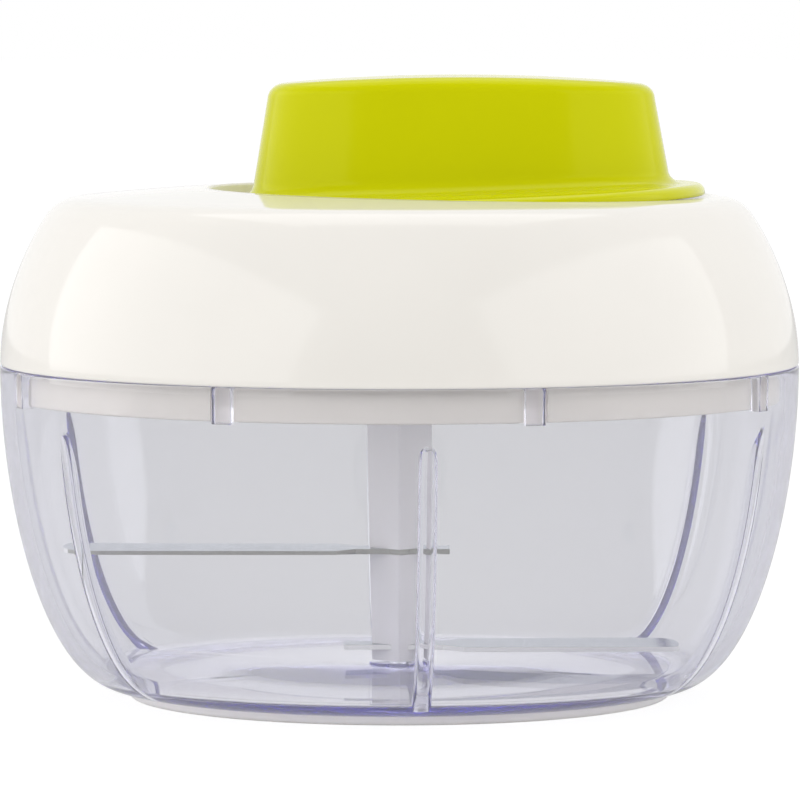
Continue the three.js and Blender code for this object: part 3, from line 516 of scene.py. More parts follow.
def bowl_outline():
    outside = [(0, FOOT), (GROOVE_INNER, FOOT), (GROOVE_INNER, GROOVE_TOP),
               (GROOVE_OUTER, GROOVE_TOP), (GROOVE_OUTER, FOOT, 0.2)]
    rim = [(BOWL_RIM[0], BOWL_RIM[1], 0.35), (BOWL_RIM[0] - BOWL_WALL, BOWL_RIM[1], 0.3)]
    floor = [(bowl_inner[0].x - FLOOR_ROUND, FLOOR, 1.2), (BOSS_RADIUS, FLOOR, 0.25)]
    boss = [(BOSS_RADIUS, BOSS_TOP, 0.15), (SEAT_RADIUS, BOSS_TOP), (SEAT_RADIUS, SEAT_LOW),
            (0, SEAT_LOW)]
    walls = [tuple(point) for point in bowl_side[:-1]]
    back_down = [tuple(point) for point in reversed(bowl_inner)]
    return softened(outside + walls + rim + back_down + floor + boss)


bowl = turned(bowl_outline(), steps=180, closed=False)
tidied(bowl)
print("bowl skin:", len(bowl.faces), "faces")

# %% [markdown]
# Six long ribs run down the inside of the wall and stop food from sliding round with the
# blades. Each has rounded edges and a half-round top that runs out into the wall, so it is one
# face that is pushed up from section to section. Plain bars would end in a square step.

# %% The long ribs
RIB = {"half": 1.35, "depth": 1.2, "low": 3.1, "top": 43.0, "run_out": 8.0, "corner": 0.9,
       "phase": -86}
LONG_RIB_COUNT = 6
SIDE_SECTIONS, TOP_SECTIONS = 36, 12
sunk = beside(bowl_side, BOWL_WALL / 2)
proud = beside(bowl_side, BOWL_WALL + RIB["depth"])


def radius_at(outline, height):
    for below, above in zip(outline, outline[1:]):
        if below.y <= height <= above.y:
            return below.lerp(above, (height - below.y) / (above.y - below.y)).x
    return outline[0].x


def quarter(steps):
    """Sines and cosines over a quarter of a turn."""
    return [(math.sin(k * math.pi / 2 / steps), math.cos(k * math.pi / 2 / steps))
            for k in range(steps + 1)]


def rounded_end(height, end, length):
    """A share that falls from 1 to nearly 0 like a quarter of a circle, up to the end."""
    rise = max(0, height - (end - length)) / length
    return math.sqrt(max(0.01, 1 - rise ** 2))


def rib_section(height):
    """A rib's section at one height. Its top narrows to a half round and runs into the wall."""
    half = RIB["half"] * rounded_end(height, RIB["top"], RIB["half"])
    outer, inner = radius_at(sunk, height), radius_at(proud, height)
    inner = outer + (inner - outer) * rounded_end(height, RIB["top"], RIB["run_out"])
    corner = min(RIB["corner"], half * 0.95)
    middle, side = inner + corner, half - corner
    arc = [(middle - corner * s, side + corner * c) for s, c in quarter(4)]
    left = [(x, -y) for x, y in reversed(arc)]
    return [Vector((x, y, height)) for x, y in [(outer, half)] + arc + left + [(outer, -half)]]


def lofted(rings):
    """A closed shape through rings of points in mm: one face, pushed on from ring to ring."""
    bm = bmesh.new()
    chain = [bm.verts.new(point * MM) for point in rings[0]]
    face = bm.faces.new(chain)
    for ring in rings[1:]:
        face, fresh = pushed(bm, face)
        chain = [min(fresh, key=lambda v: (v.co - old.co).length) for old in chain]
        for vert, point in zip(chain, ring):
            vert.co = point * MM
    bmesh.ops.recalc_face_normals(bm, faces=bm.faces)
    return bm


def long_rib(turn):
    straight_top = RIB["top"] - RIB["run_out"]
    heights = [RIB["low"] + (straight_top - RIB["low"]) * k / SIDE_SECTIONS
               for k in range(SIDE_SECTIONS)]
    heights += [straight_top + RIB["run_out"] * s for s, c in quarter(TOP_SECTIONS)]
    return swung(lofted([rib_section(height) for height in heights]), turn)


long_ribs = [long_rib(RIB["phase"] + 360 / LONG_RIB_COUNT * i) for i in range(LONG_RIB_COUNT)]
print("long ribs:", len(long_ribs))

# %% [markdown]
# Eight short ribs in the neck centre the lid's skirt. They get slimmer inwards, so that the
# bowl comes off the mould's core. All ribs are joined to the wall as one skin, because a
# second surface inside the plastic would show as a line.

# %% The neck ribs, and the bowl in one skin
NECK_RIB = {"half": 1.65, "draft": 0.3, "inner": 57.0, "low": 45.0, "high": 50.0,
            "phase": -70.7, "count": 8}


def neck_turns():
    return [NECK_RIB["phase"] + 360 / NECK_RIB["count"] * i for i in range(NECK_RIB["count"])]


def neck_rib(turn):
    outer, inner = BOWL_RIM[0] - 1, NECK_RIB["inner"]
    half, slim = NECK_RIB["half"], NECK_RIB["half"] - NECK_RIB["draft"]
    section = [(outer, half), (inner, slim), (inner, -slim), (outer, -half)]
    bm = lofted([[Vector((*spot, height)) for spot in section]
                 for height in (NECK_RIB["low"], NECK_RIB["high"])])
    bevelled(bm, bm.edges, 0.1, 2)
    return swung(bm, turn)


def gathered(shapes):
    """Several closed shapes in one bmesh."""
    whole = bmesh.new()
    for shape in shapes:
        mesh = bpy.data.meshes.new("part")
        shape.to_mesh(mesh)
        shape.free()
        whole.from_mesh(mesh)
        bpy.data.meshes.remove(mesh)
    return whole


neck_ribs = [neck_rib(turn) for turn in neck_turns()]
bowl = combined(bowl, gathered(long_ribs + neck_ribs), "UNION")
finished("clear_bowl", bowl, "bowl_body", "bowl", material=clear_plastic)

# %% [markdown]
# The ring sits in its groove and carries the whole chopper. The pin is a short turned rod.

# %% The rubber ring and the pivot pin
RING = {"inner": 36.5, "outer": 41.1, "top": 2.08}
PIN = {"radius": 1.5, "top": 14.2}
ring = turned(softened([
    (RING["inner"], 0.0, 0.5), (RING["outer"], 0.0, 0.6),
    (RING["outer"], RING["top"], 0.15), (RING["inner"], RING["top"], 0.15)]))
finished("milky_base_ring", ring, "bowl_body", "base_ring", material=milky_rubber)
pin = turned(softened([(0, SEAT_LOW), (PIN["radius"], SEAT_LOW, 0.2),
                       (PIN["radius"], PIN["top"], 0.6), (0, PIN["top"])]), 48, False)
finished("steel_pivot_pin", pin, "bowl_body", "pivot_pin", material=turned_steel)

# %% [markdown]
# ## The blade unit
# The shaft is a square column that stands with one corner to the front, slightly slimmer at
# the foot. A cone with four sides is just that. Its upright corners are softened with a bevel,
# and two slots take the blades. The steel of the upper blade reaches the shaft's surface all
# round in a fine groove, because the shaft is moulded round it.

# %% The blade shaft
SHAFT = {"foot": 5.0, "shoulder": 43.3, "top": 49.2, "foot_size": 4.3, "size": 5.15,
         "edge": 0.35, "core": 4.0, "bore": 1.8, "bore_top": 14.5}
UPPER_BLADE = {"reach": 51.4, "stub": 7.6, "height": 22.1, "turn": 180, "hub": 4.5}
LOWER_BLADE = {"reach": 42.5, "stub": 8.4, "height": 7.3, "turn": 0, "hub": 0}
SLOT = {"half": 0.42, "length": 12, "width": 6.2}


def upright_edges(bm):
    return [e for e in bm.edges if abs(e.verts[0].co.z - e.verts[1].co.z) > MM]


def square_rod(low, high, low_size, high_size, edge=0.0):
    """A square bar that stands on its corner. Sizes are from the middle to a corner."""
    bm = bmesh.new()
    middle = Matrix.Translation((0, 0, (low + high) / 2 * MM))
    bmesh.ops.create_cone(bm, cap_ends=True, segments=4, radius1=low_size * MM,
                          radius2=high_size * MM, depth=(high - low) * MM, matrix=middle)
    if edge:
        bevelled(bm, upright_edges(bm), edge, 3)
    return bm


def slot_at(bm, blade, width):
    """A flat bar as a tool, as high as a blade's slot."""
    level = blade["height"]
    return bar(bm, 0, (SLOT["length"], width), level - SLOT["half"], level + SLOT["half"])


head_size = SHAFT["size"] - 0.02
shaft = combined(
    square_rod(SHAFT["foot"], SHAFT["shoulder"], SHAFT["foot_size"], SHAFT["size"],
               SHAFT["edge"]),
    square_rod(SHAFT["shoulder"] - 1, SHAFT["top"], head_size, head_size, SHAFT["edge"]),
    "UNION")
slots = rod(bmesh.new(), (0, 0), SHAFT["bore"], SHAFT["foot"] - 1, SHAFT["bore_top"])
for blade in (UPPER_BLADE, LOWER_BLADE):
    slot_at(slots, blade, SLOT["width"])
shaft = combined(shaft, slots, "DIFFERENCE")
core = square_rod(21, 23, SHAFT["core"], SHAFT["core"])
groove = combined(slot_at(bmesh.new(), UPPER_BLADE, SLOT["length"]), core, "DIFFERENCE")
shaft = combined(shaft, groove, "DIFFERENCE")
finished("blade_shaft_column", shaft, "blade_body", "blade_shaft", material=shaft_grey)

# %% [markdown]
# Each blade is a strip of steel with one long cutting edge. Its outline from above is one
# face, which is pushed up twice: once to the cutting edge's land and once to the full
# thickness. It is ground from below on the side that leads as the shaft turns, so the lower
# corners of that side are moved back, which leaves a thin edge at the top. The back keeps its
# full thickness, with fine bevels.

# %% The blades
BLADE = {"thickness": 0.8, "half": 6.25, "neck": 3.0, "root": 6.65, "shoulder": 3.0,
         "front_round": 2.5, "rear_round": 7, "pull": 0.8, "rear_pull": 2.3,
         "grind": 2.4, "land": 0.6, "bevel": 0.12}
FLAT_NORMAL, SHADED_LAND_NORMAL = 0.9, 0.6


def blade_outline(reach, stub, hub):
    """A blade from above. A hub over 0 gives it a square middle that stands on its corner."""
    half, neck = BLADE["half"], BLADE["neck"]
    root, arm = BLADE["root"], BLADE["root"] + BLADE["shoulder"]
    size, pull = BLADE["front_round"], BLADE["pull"]
    front = curve_points((reach - size, -half), (reach - pull, -half), (reach, pull - half),
                         (reach, size - half), 6)
    size, pull = BLADE["rear_round"], BLADE["rear_pull"]
    rear = curve_points((reach, half - size), (reach, half - pull), (reach - pull, half),
                        (reach - size, half), 10)
    middle = [(neck - hub, neck), (0, hub), (hub - neck, neck)] if hub else []
    return ([Vector(p) for p in [(-stub, -neck)] + [(x, -y) for x, y in middle]
             + [(root, -neck), (arm, -half)]] + front + rear
            + [Vector(p) for p in [(arm, half), (root, neck)] + middle[::-1] + [(-stub, neck)]])


def ground_blade(reach, stub, height, turn, hub):
    bm = bmesh.new()
    outline = blade_outline(reach, stub, hub)
    low = (height - BLADE["thickness"] / 2) * MM
    lowest = [bm.verts.new((p.x * MM, p.y * MM, low)) for p in outline]
    face = bm.faces.new(lowest)
    for rise in (BLADE["thickness"] - BLADE["land"], BLADE["land"]):
        face, upper = pushed(bm, face)
        bmesh.ops.translate(bm, verts=upper, vec=(0, 0, rise * MM))
    edge_line = (BLADE["half"] - BLADE["rear_round"]) * MM
    for vert in lowest:
        if vert.co.y > edge_line and vert.co.x > (BLADE["root"] + 1) * MM:
            share = min(1, (vert.co.y - edge_line) / (BLADE["grind"] * MM))
            vert.co.y -= BLADE["grind"] * MM * share
    bmesh.ops.recalc_face_normals(bm, faces=bm.faces)
    back = [e for e in bm.edges if e.calc_face_angle(0) > 1
            and max(v.co.y for v in e.verts) < -2 * MM
            and abs(e.verts[0].co.z - e.verts[1].co.z) < 0.1 * MM]
    bevelled(bm, back, BLADE["bevel"], 3)
    return swung(bm, turn)


def dressed_blade(name, bm, node, cutting_side):
    """The flats are smooth; the back carries a painted highlight in matt white, the dull land
    painted shade.
    """
    piece = finished(name, bm, "blade_body", node, material=blade_steel, crease=15)
    piece.data.materials.append(back_painted_highlight)
    piece.data.materials.append(land_painted_shade)
    # Upright faces on the cutting side get the dark painted shade, and the other upright faces
    # get the white painted highlight.
    for face in piece.data.polygons:
        if abs(face.normal.z) < FLAT_NORMAL:
            face.material_index = 2 if face.normal.y * cutting_side > SHADED_LAND_NORMAL else 1


dressed_blade("upper_chopping_blade", ground_blade(**UPPER_BLADE), "upper_blade", -1)
pin_hole = rod(bmesh.new(), (0, 0), SHAFT["bore"], 6, 9)
lower = combined(ground_blade(**LOWER_BLADE), pin_hole, "DIFFERENCE")
dressed_blade("lower_chopping_blade", lower, "lower_blade", 1)

# %% [markdown]
# ## The lid
# The cover's side leans in from the seam, turns over a soft shoulder and ends in a slightly
# domed top. The grip's round recess is let into that top off centre and slightly tilted, so
# that it is deep on one side and runs out level on the other. A Boolean would leave long thin
# faces round the recess, which show as flaws in a high gloss. So the top is drawn inwards
# ring by ring with the extrude operator, from the shoulder's round to the recess's round.

# %% The lid's levels
SEAM = 50.4
DOME_TOP, DOME_DROP, DOME_RADIUS = 78.1, 2.5, 50.0
DOCK_X, DOCK_RADIUS, DOCK_TILT = 9.2, 38.0, math.radians(2.1)
DOCK_PLANE = 76.571
RECESS = {"depth": 2.1, "under": 3.9, "wall": 1.8}
GUIDE_X = 30.0
GUIDE_HOLE = 3.1
LID_WALL = 2.2


def dome(radius):
    return DOME_TOP - DOME_DROP * (radius / DOME_RADIUS) ** 2


def dock_level(x, depth=0.0):
    """Height of the tilted plane that the grip's flange tops out at, at some place x."""
    return DOCK_PLANE + (x - DOCK_X) * math.tan(DOCK_TILT) - depth


print("recess plane at its middle:", round(dock_level(DOCK_X), 2), "mm")

# %% [markdown]
# A ring of points is written down by angle. An open edge loop is then drawn out to it with
# the extrude operator, point by point, and each new ring starts from the one before.

# %% Draw a skin from ring to ring


def ring_at(count, make):
    """A ring of points. make gives the point at an angle."""
    return [make(TURN * i / count) for i in range(count)]


def steps_round(edges, count):
    """Number the points of a round edge loop by their angle about its middle."""
    verts = {vert for edge in edges for vert in edge.verts}
    middle = sum((vert.co for vert in verts), Vector()) / len(verts)
    return {vert: round(math.atan2(vert.co.y - middle.y, vert.co.x - middle.x) / TURN * count)
            % count for vert in verts}


def extruded_rings(bm, edges, rings, step=None):
    """Draw an edge loop out into one ring after another. Rings are lists of points in mm."""
    step = step or steps_round(edges, len(rings[0]))
    for points in rings:
        grown = bmesh.ops.extrude_edge_only(bm, edges=edges)["geom"]
        fresh = [part for part in grown if isinstance(part, bmesh.types.BMVert)]
        step = {vert: step[min(step, key=lambda old: (old.co - vert.co).length)]
                for vert in fresh}
        edges = [part for part in grown if isinstance(part, bmesh.types.BMEdge)
                 and part.verts[0] in step and part.verts[1] in step]
        for vert, k in step.items():
            vert.co = points[k] * MM
    return edges


def drawn_out(rings):
    """A skin drawn through rings, with its first and its last edge loop."""
    bm = bmesh.new()
    first = bmesh.ops.create_circle(bm, segments=len(rings[0]), radius=10 * MM)["verts"]
    edges = list({edge for vert in first for edge in vert.link_edges})
    step = steps_round(edges, len(rings[0]))
    for vert, k in step.items():
        vert.co = rings[0][k] * MM
    return bm, edges, extruded_rings(bm, edges, rings[1:], step)


def round_dock(radius, level):
    """A ring round the dock's middle. level gives the height at a point of the ring."""
    def point(angle):
        x, y = DOCK_X + radius(angle) * math.cos(angle), radius(angle) * math.sin(angle)
        return Vector((x, y, level(x, y, angle)))
    return ring_at(ROUND_STEPS, point)


# %% [markdown]
# The side is turned like the bowl, as one wall with an outer and an inner skin. At the seam
# both skins meet in a small rounded edge that stands on the bowl's rim.

# %% The cover's side, turned inside and outside
SHOULDER_LOW = (53.4, 73.1)
SHOULDER_TOP_RADIUS = 49.3
SHOULDER_PULL_RADIUS = 52.03
lid_side = curve_points(BOWL_RIM, (60.5, 60.5), (56.0, 69.3), SHOULDER_LOW, 26)
shoulder_pull = Vector((SHOULDER_PULL_RADIUS, dome(SHOULDER_LOW[0])))
shoulder_start = Vector(SHOULDER_LOW)
shoulder_end = Vector((SHOULDER_TOP_RADIUS, dome(SHOULDER_TOP_RADIUS)))
lid_shoulder = curve_points(shoulder_start, shoulder_start.lerp(shoulder_pull, 2 / 3),
                            shoulder_end.lerp(shoulder_pull, 2 / 3), shoulder_end, 10)
outer_side = lid_side + lid_shoulder[1:]
inner_side = beside(outer_side, LID_WALL)
inner_side[0] = Vector((BOWL_RIM[0] - LID_WALL, SEAM))
seam_corner = [tuple(inner_side[1]), (*inner_side[0], 0.3), (*outer_side[0], 0.5),
               tuple(outer_side[1])]
cover_outline = list(reversed(inner_side))[:-2] + softened(seam_corner) + outer_side[2:]
cover = turned(cover_outline, closed=False)
tidied(cover)
print("cover side:", len(cover.faces), "faces")

# %% [markdown]
# Two open rounds are left at the top, one on the outer skin and one on the inner skin. They
# are found as the loops of edges that have only one face.

# %% Find the open rounds


def open_rounds(bm):
    """The open edge loops, the highest first."""
    loose = {e for e in bm.edges if e.is_boundary}
    loops = []
    while loose:
        group, reach = set(), [next(iter(loose))]
        while reach:
            edge = reach.pop()
            if edge in group:
                continue
            group.add(edge)
            reach += [o for v in edge.verts for o in v.link_edges if o in loose]
        loose -= group
        loops.append(list(group))
    return sorted(loops, key=lambda loop: -loop[0].verts[0].co.z)


upper_round, lower_round = open_rounds(cover)
print("edges in the open rounds:", len(upper_round), len(lower_round))

# %% [markdown]
# Each round is drawn in over the dome to the recess, over the recess's soft edge and down its
# wall. Where the recess runs out level, the soft edge shrinks with the wall, so that the
# border fades away as on the real lid.

# %% Draw the dome and the recess's wall
DOME_RINGS = 9
SOFT_EDGE = 0.6
SOFT_FOOT = 0.4


def lid_top(bm, edges, offset, recess, depth, soft_edge):
    start_radius = math.hypot(*edges[0].verts[0].co.xy) / MM

    def wall(angle):
        x, y = DOCK_X + recess * math.cos(angle), recess * math.sin(angle)
        return dome(math.hypot(x, y)) - offset - dock_level(x, depth)

    def soft(angle, size=soft_edge):
        return max(0.0, min(size, 0.45 * wall(angle)))
    rings = []
    for k in range(1, DOME_RINGS + 1):
        def between(angle, share=k / DOME_RINGS):
            outside = Vector((start_radius * math.cos(angle), start_radius * math.sin(angle)))
            edge = recess + soft(angle)
            inside = Vector((DOCK_X + edge * math.cos(angle), edge * math.sin(angle)))
            spot = outside.lerp(inside, share)
            return Vector((*spot, dome(spot.length) - offset))
        rings.append(ring_at(ROUND_STEPS, between))
    for turn in (0.35, 0.7, 1.0):
        lean = math.sin(turn * math.pi / 2)
        fall = 1 - math.cos(turn * math.pi / 2)
        rings.append(round_dock(
            lambda a: recess + soft(a) * (1 - lean),
            lambda x, y, a: dome(math.hypot(x, y)) - offset - soft(a) * fall))
    for turn in (0.0, 0.5, 1.0):
        lean = 1 - math.cos(turn * math.pi / 2)
        rise = 1 - math.sin(turn * math.pi / 2)
        rings.append(round_dock(
            lambda a: recess - soft(a, SOFT_FOOT) * lean,
            lambda x, y, a: dock_level(x, depth) + soft(a, SOFT_FOOT) * rise))
    return extruded_rings(bm, edges, rings)


top_edges = lid_top(cover, upper_round, 0.0, DOCK_RADIUS, RECESS["depth"], SOFT_EDGE)
under_edges = lid_top(cover, lower_round, LID_WALL, DOCK_RADIUS + RECESS["wall"],
                      RECESS["under"], 0.0)
print("edges left round the floor:", len(top_edges), len(under_edges))

# %% [markdown]
# The recess's floor has a hole for the cord guide, so each skin is filled as a flat shape
# between two rounds, and a short wall joins the skins inside the hole.

# %% Fill the recess's floor


def floor_with_hole(bm, edges, depth):
    """Close a round with a flat floor that keeps the hole for the cord guide open."""
    hole = bmesh.ops.create_circle(bm, segments=32, radius=GUIDE_HOLE * MM)["verts"]
    for vert in hole:
        vert.co.x += GUIDE_X * MM
        vert.co.z = dock_level(vert.co.x / MM, depth) * MM
    rim = list({e for v in hole for e in v.link_edges})
    bmesh.ops.triangle_fill(bm, edges=edges + rim, use_beauty=True, use_dissolve=False,
                            normal=(math.sin(DOCK_TILT), 0, -math.cos(DOCK_TILT)))
    return rim


top_rim = floor_with_hole(cover, top_edges, RECESS["depth"])
under_rim = floor_with_hole(cover, under_edges, RECESS["under"])
bmesh.ops.bridge_loops(cover, edges=top_rim + under_rim)
print("cover:", len(cover.faces), "faces")

# %% [markdown]
# Inside, four bosses take the screws that hold the lid base, and three take the spring cup.
# They are plain tubes that run up into the cover.

# %% The cover's bosses
LID_BOSS = {"radius": 47.0, "hole": 1.7, "outer": 3.4, "low": 49.1, "sunk": 1.1}
CUP_BOSS = {"radius": 29.0, "hole": 1.4, "outer": 3.2, "low": 66.4, "depth": 3.0}


def tube(bm, place, inner, outer, low, high, sides=32):
    return turned([(inner, low), (outer, low), (outer, high), (inner, high)], sides, True, bm,
                  place)


def around(count, phase, radius):
    """Places on a circle. The phase is in degrees."""
    angles = [math.radians(phase + 360 * i / count) for i in range(count)]
    return [(radius * math.cos(a), radius * math.sin(a)) for a in angles]


lid_screw_places = around(4, 45, LID_BOSS["radius"])
for place in lid_screw_places:
    tube(cover, place, LID_BOSS["hole"], LID_BOSS["outer"], LID_BOSS["low"],
         dome(LID_BOSS["radius"]) - LID_BOSS["sunk"])
for place in around(3, 60, CUP_BOSS["radius"]):
    tube(cover, place, CUP_BOSS["hole"], CUP_BOSS["outer"], CUP_BOSS["low"],
         dock_level(place[0], CUP_BOSS["depth"]))
finished("glossy_lid_cover", cover, "lid_body", "lid_cover", material=white_gloss)

# %% [markdown]
# The lid base closes the lid from below. Its skirt drops into the bowl's neck, where it shows
# through the clear wall, and it is notched for the neck ribs. In the middle a sleeve guides
# the drive hub. Four round sinks hide the screw heads.

# %% The lid base
SKIRT = {"radius": 57.6, "wall": 2.0, "low": 45.3, "high": 53.5, "pan": 1.8}
SLEEVE = {"inner": 7.57, "outer": 9.57, "top": 48.0}
PAD = {"radius": 5.0, "low": SKIRT["low"] + 0.9, "sink": 2.9, "sink_top": 47.2}
NOTCH_SIZE = (2.2, 4.3)
skirt_inner = SKIRT["radius"] - SKIRT["wall"]
pan_top = SKIRT["low"] + SKIRT["pan"]
base = turned(softened([
    (SLEEVE["inner"], SKIRT["low"], 0.2), (SKIRT["radius"], SKIRT["low"], 0.35),
    (SKIRT["radius"], SKIRT["high"], 0.3), (skirt_inner, SKIRT["high"], 0.3),
    (skirt_inner, pan_top, 0.3), (SLEEVE["outer"], pan_top, 0.3),
    (SLEEVE["outer"], SLEEVE["top"], 0.2), (SLEEVE["inner"], SLEEVE["top"], 0.2)]))
pads = bmesh.new()
for place in lid_screw_places:
    rod(pads, place, PAD["radius"], PAD["low"], LID_BOSS["low"])
base = combined(base, pads, "UNION")
under_it = SKIRT["low"] - 1
holes = [rod(bmesh.new(), place, LID_BOSS["hole"], under_it, LID_BOSS["low"] + 1)
         for place in lid_screw_places]
sinks = [rod(bmesh.new(), place, PAD["sink"], under_it, PAD["sink_top"], 40)
         for place in lid_screw_places]
notches = [bar(bmesh.new(), SKIRT["radius"], NOTCH_SIZE, under_it, SEAM, turn)
           for turn in neck_turns()]
base = combined(base, gathered(holes + notches), "DIFFERENCE")
base = combined(base, gathered(sinks), "DIFFERENCE")
finished("lid_skirt_and_pan", base, "lid_body", "lid_base", material=white_satin)

# %% [markdown]
# ## The drive hub
# Seen from below, with the lid off, the hub is a round sleeve with a square socket for the
# shaft. Its saw-toothed flange lies above the pan. The teeth are one outline that is pushed
# up, and the socket is cut with a four-sided cone that stands on its corner like the shaft.

# %% The drive hub
HUB = {"radius": 7.27, "low": 43.3, "top": 49.6, "socket": 5.57, "socket_top": 49.5}
TEETH = {"count": 10, "low": 48.3, "height": 2.7,
         "saw": ((11.5, 0.0), (10.5, 0.5), (9.5, 0.98))}
hub = turned(softened([(0, HUB["low"]), (HUB["radius"], HUB["low"], 0.35),
                       (HUB["radius"], HUB["top"]), (0, HUB["top"])]), 96, False)
teeth = bmesh.new()
saw = []
for i in range(TEETH["count"]):
    for radius, step in TEETH["saw"]:
        angle = TURN * (i + step) / TEETH["count"]
        saw.append(teeth.verts.new((radius * math.cos(angle) * MM,
                                    radius * math.sin(angle) * MM, TEETH["low"] * MM)))
_, teeth_top = pushed(teeth, teeth.faces.new(saw))
bmesh.ops.translate(teeth, verts=teeth_top, vec=(0, 0, TEETH["height"] * MM))
hub = combined(hub, teeth, "UNION")
socket = square_rod(HUB["low"] - 1, HUB["socket_top"], HUB["socket"], HUB["socket"])
hub = combined(hub, socket, "DIFFERENCE")
finished("ratchet_drive_hub", hub, "hub_body", "drive_hub", material=inner_grey)

# %% [markdown]
# ## Screws
# Ten small screws hold the lid and the grip together. They are turned from one outline in
# three sizes, with the head below and a cross recess cut into it. The place of each is read
# from the engineering part that it stands for.

# %% The screws
SMALL_SCREW = {"head": 2.1, "height": 1.1, "radius": 1.1, "length": 6.6}
LID_SCREW = {"head": 2.6, "height": 1.6, "radius": 1.4, "length": 9.0}
REEL_SCREW = {"head": 2.6, "height": 0.8, "radius": 1.2, "length": 7.0}
CROSS = {"length": 1.15, "width": 0.26, "depth": 0.55}
SCREWS = {
    "lid_screw": (LID_SCREW, 4, "lid_body"),
    "spring_screw": (SMALL_SCREW, 3, "lid_body"),
    "reel_screw": (REEL_SCREW, 1, "lid_body"),
    "grip_screw": (SMALL_SCREW, 2, "grip_body"),
}


def cross_screw(node, head, height, radius, length):
    """The head and the shank are sized by their radii. The slots are sized by the head."""
    low_corner, high_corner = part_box(node)
    x, y = [(low_corner[i] + high_corner[i]) / 2 / MM for i in (0, 1)]
    foot = low_corner[2] / MM
    seat, tip = foot + height, foot + height + length
    bm = turned(softened([(0, foot), (head, foot, 0.3), (head, seat), (radius, seat),
                          (radius, tip, 0.4), (0, tip)]), 40, False, None, (x, y))
    narrow, wide = head * CROSS["width"], head * CROSS["length"]
    arms = []
    for size in ((narrow, wide), (wide, narrow)):
        arm = bar(bmesh.new(), 0, size, foot - 1, foot + height * CROSS["depth"])
        bmesh.ops.translate(arm, verts=arm.verts, vec=(x * MM, y * MM, 0))
        arms.append(arm)
    return combined(bm, combined(*arms, "UNION"), "DIFFERENCE")


for kind, (size, count, body) in SCREWS.items():
    for i in range(1, count + 1):
        node = f"{kind}_{i}" if count > 1 else kind
        finished(f"{kind}_{i}_cross_head", cross_screw(node, **size), body, node,
                 material=turned_steel)

# %% [markdown]
# ## The grip
# The grip is a long body with rounded ends whose walls lean in towards the top, and a round
# flange that fills the recess. A soft fillet joins the two. Its plan is neither an oval nor a
# rectangle but something between, a superellipse. The whole shell is one loop that is drawn
# out ring by ring: from the middle of the top, over the edge, down the wall, out over the
# flange, round its edge, back in underneath and up inside.

# %% The grip's plan and levels
GRIP = {"x": 9.3, "length": 31.3, "depth": 15.0, "power": 2 / 2.5, "draft": 2.0,
        "fillet": 2.8, "top_edge": 2.3, "top": 94.0, "arch": 1.5, "wall": 2.0, "mouth": 1.2}
FLANGE = {"radius": 37.0, "thickness": 1.8, "edge": 1.35, "under_edge": 0.25}
GRIP_STEPS = 144


def grip_plan(inset, angle, scale=1.0):
    """A point of the superellipse, moved in by the inset."""
    c, s = math.cos(angle), math.sin(angle)
    x = (GRIP["length"] - inset) * math.copysign(abs(c) ** GRIP["power"], c) * scale
    y = (GRIP["depth"] - inset) * math.copysign(abs(s) ** GRIP["power"], s) * scale
    return GRIP["x"] + x, y


def grip_top(x, lowered=0.0):
    return GRIP["top"] - lowered - GRIP["arch"] * ((x - GRIP["x"]) / GRIP["length"]) ** 2


def grip_ring(inset, share, lowered=0.0, scale=1.0):
    """A ring of the body at a share of the way from the flange's plane to the top."""
    def point(angle):
        x, y = grip_plan(inset, angle, scale)
        low, high = dock_level(x), grip_top(x, lowered)
        return Vector((x, y, low + (high - low) * share))
    return ring_at(GRIP_STEPS, point)


def flange_ring(radius, depth):
    """A ring of the flange, at a depth below its tilted top plane."""
    def point(angle):
        flat = Vector((radius * math.cos(angle), radius * math.sin(angle), -depth))
        tilt = Matrix.Rotation(-DOCK_TILT, 3, "Y")
        return tilt @ flat + Vector((DOCK_X, 0, DOCK_PLANE))
    return ring_at(GRIP_STEPS, point)


def body_rings(wall, lowered):
    """From near the middle of the top out over its edge, then down to the foot."""
    height = GRIP["top"] - lowered - DOCK_PLANE
    edge = GRIP["top_edge"] - wall / 2
    inset = wall + GRIP["draft"]
    flat = [grip_ring(inset + edge, 1.0, lowered, scale) for scale in (0.35, 0.6, 0.8, 0.93)]
    over = [grip_ring(inset + edge * (1 - s), 1 - edge * (1 - c) / height, lowered)
            for s, c in quarter(6)]
    return flat + over, height


def blended(ring_a, ring_b, share):
    return [a.lerp(b, share) for a, b in zip(ring_a, ring_b)]


print("grip:", 2 * GRIP["length"], "x", 2 * GRIP["depth"], "mm")

# %% [markdown]
# The rings are made in the order in which the skin runs: the top, the leaning side, the
# fillet, the flange with its rounded edge, the flat underside and then the inside.

# %% The grip's rings, from the top down and round
top_rings, grip_height = body_rings(0.0, 0.0)
fillet = GRIP["fillet"]
fillet_top = fillet / grip_height
side_start = top_rings[-1]
side_end = grip_ring(0.0, fillet_top)
side_rings = [blended(side_start, side_end, share) for share in (0.25, 0.5, 0.75, 1.0)]
fillet_rings = [grip_ring(-fillet * (1 - c), fillet * (1 - s) / grip_height)
                for s, c in quarter(6)[1:]]
edge = FLANGE["edge"]
flange_rim = flange_ring(FLANGE["radius"] - edge, 0.0)
flange_rings = [blended(fillet_rings[-1], flange_rim, share) for share in (0.33, 0.67, 1.0)]
flange_rings += [flange_ring(FLANGE["radius"] - edge * (1 - s), edge * (1 - c))
                 for s, c in quarter(5)[1:]]
lower_edge = FLANGE["under_edge"]
flange_rings += [flange_ring(FLANGE["radius"] - lower_edge * (1 - c),
                             FLANGE["thickness"] - lower_edge * (1 - s)) for s, c in quarter(3)]
mouth = grip_ring(GRIP["wall"], -FLANGE["thickness"] / grip_height)
under_rings = [blended(flange_rings[-1], mouth, share) for share in (0.5, 1.0)]
inner_top, inner_height = body_rings(GRIP["wall"], GRIP["wall"])
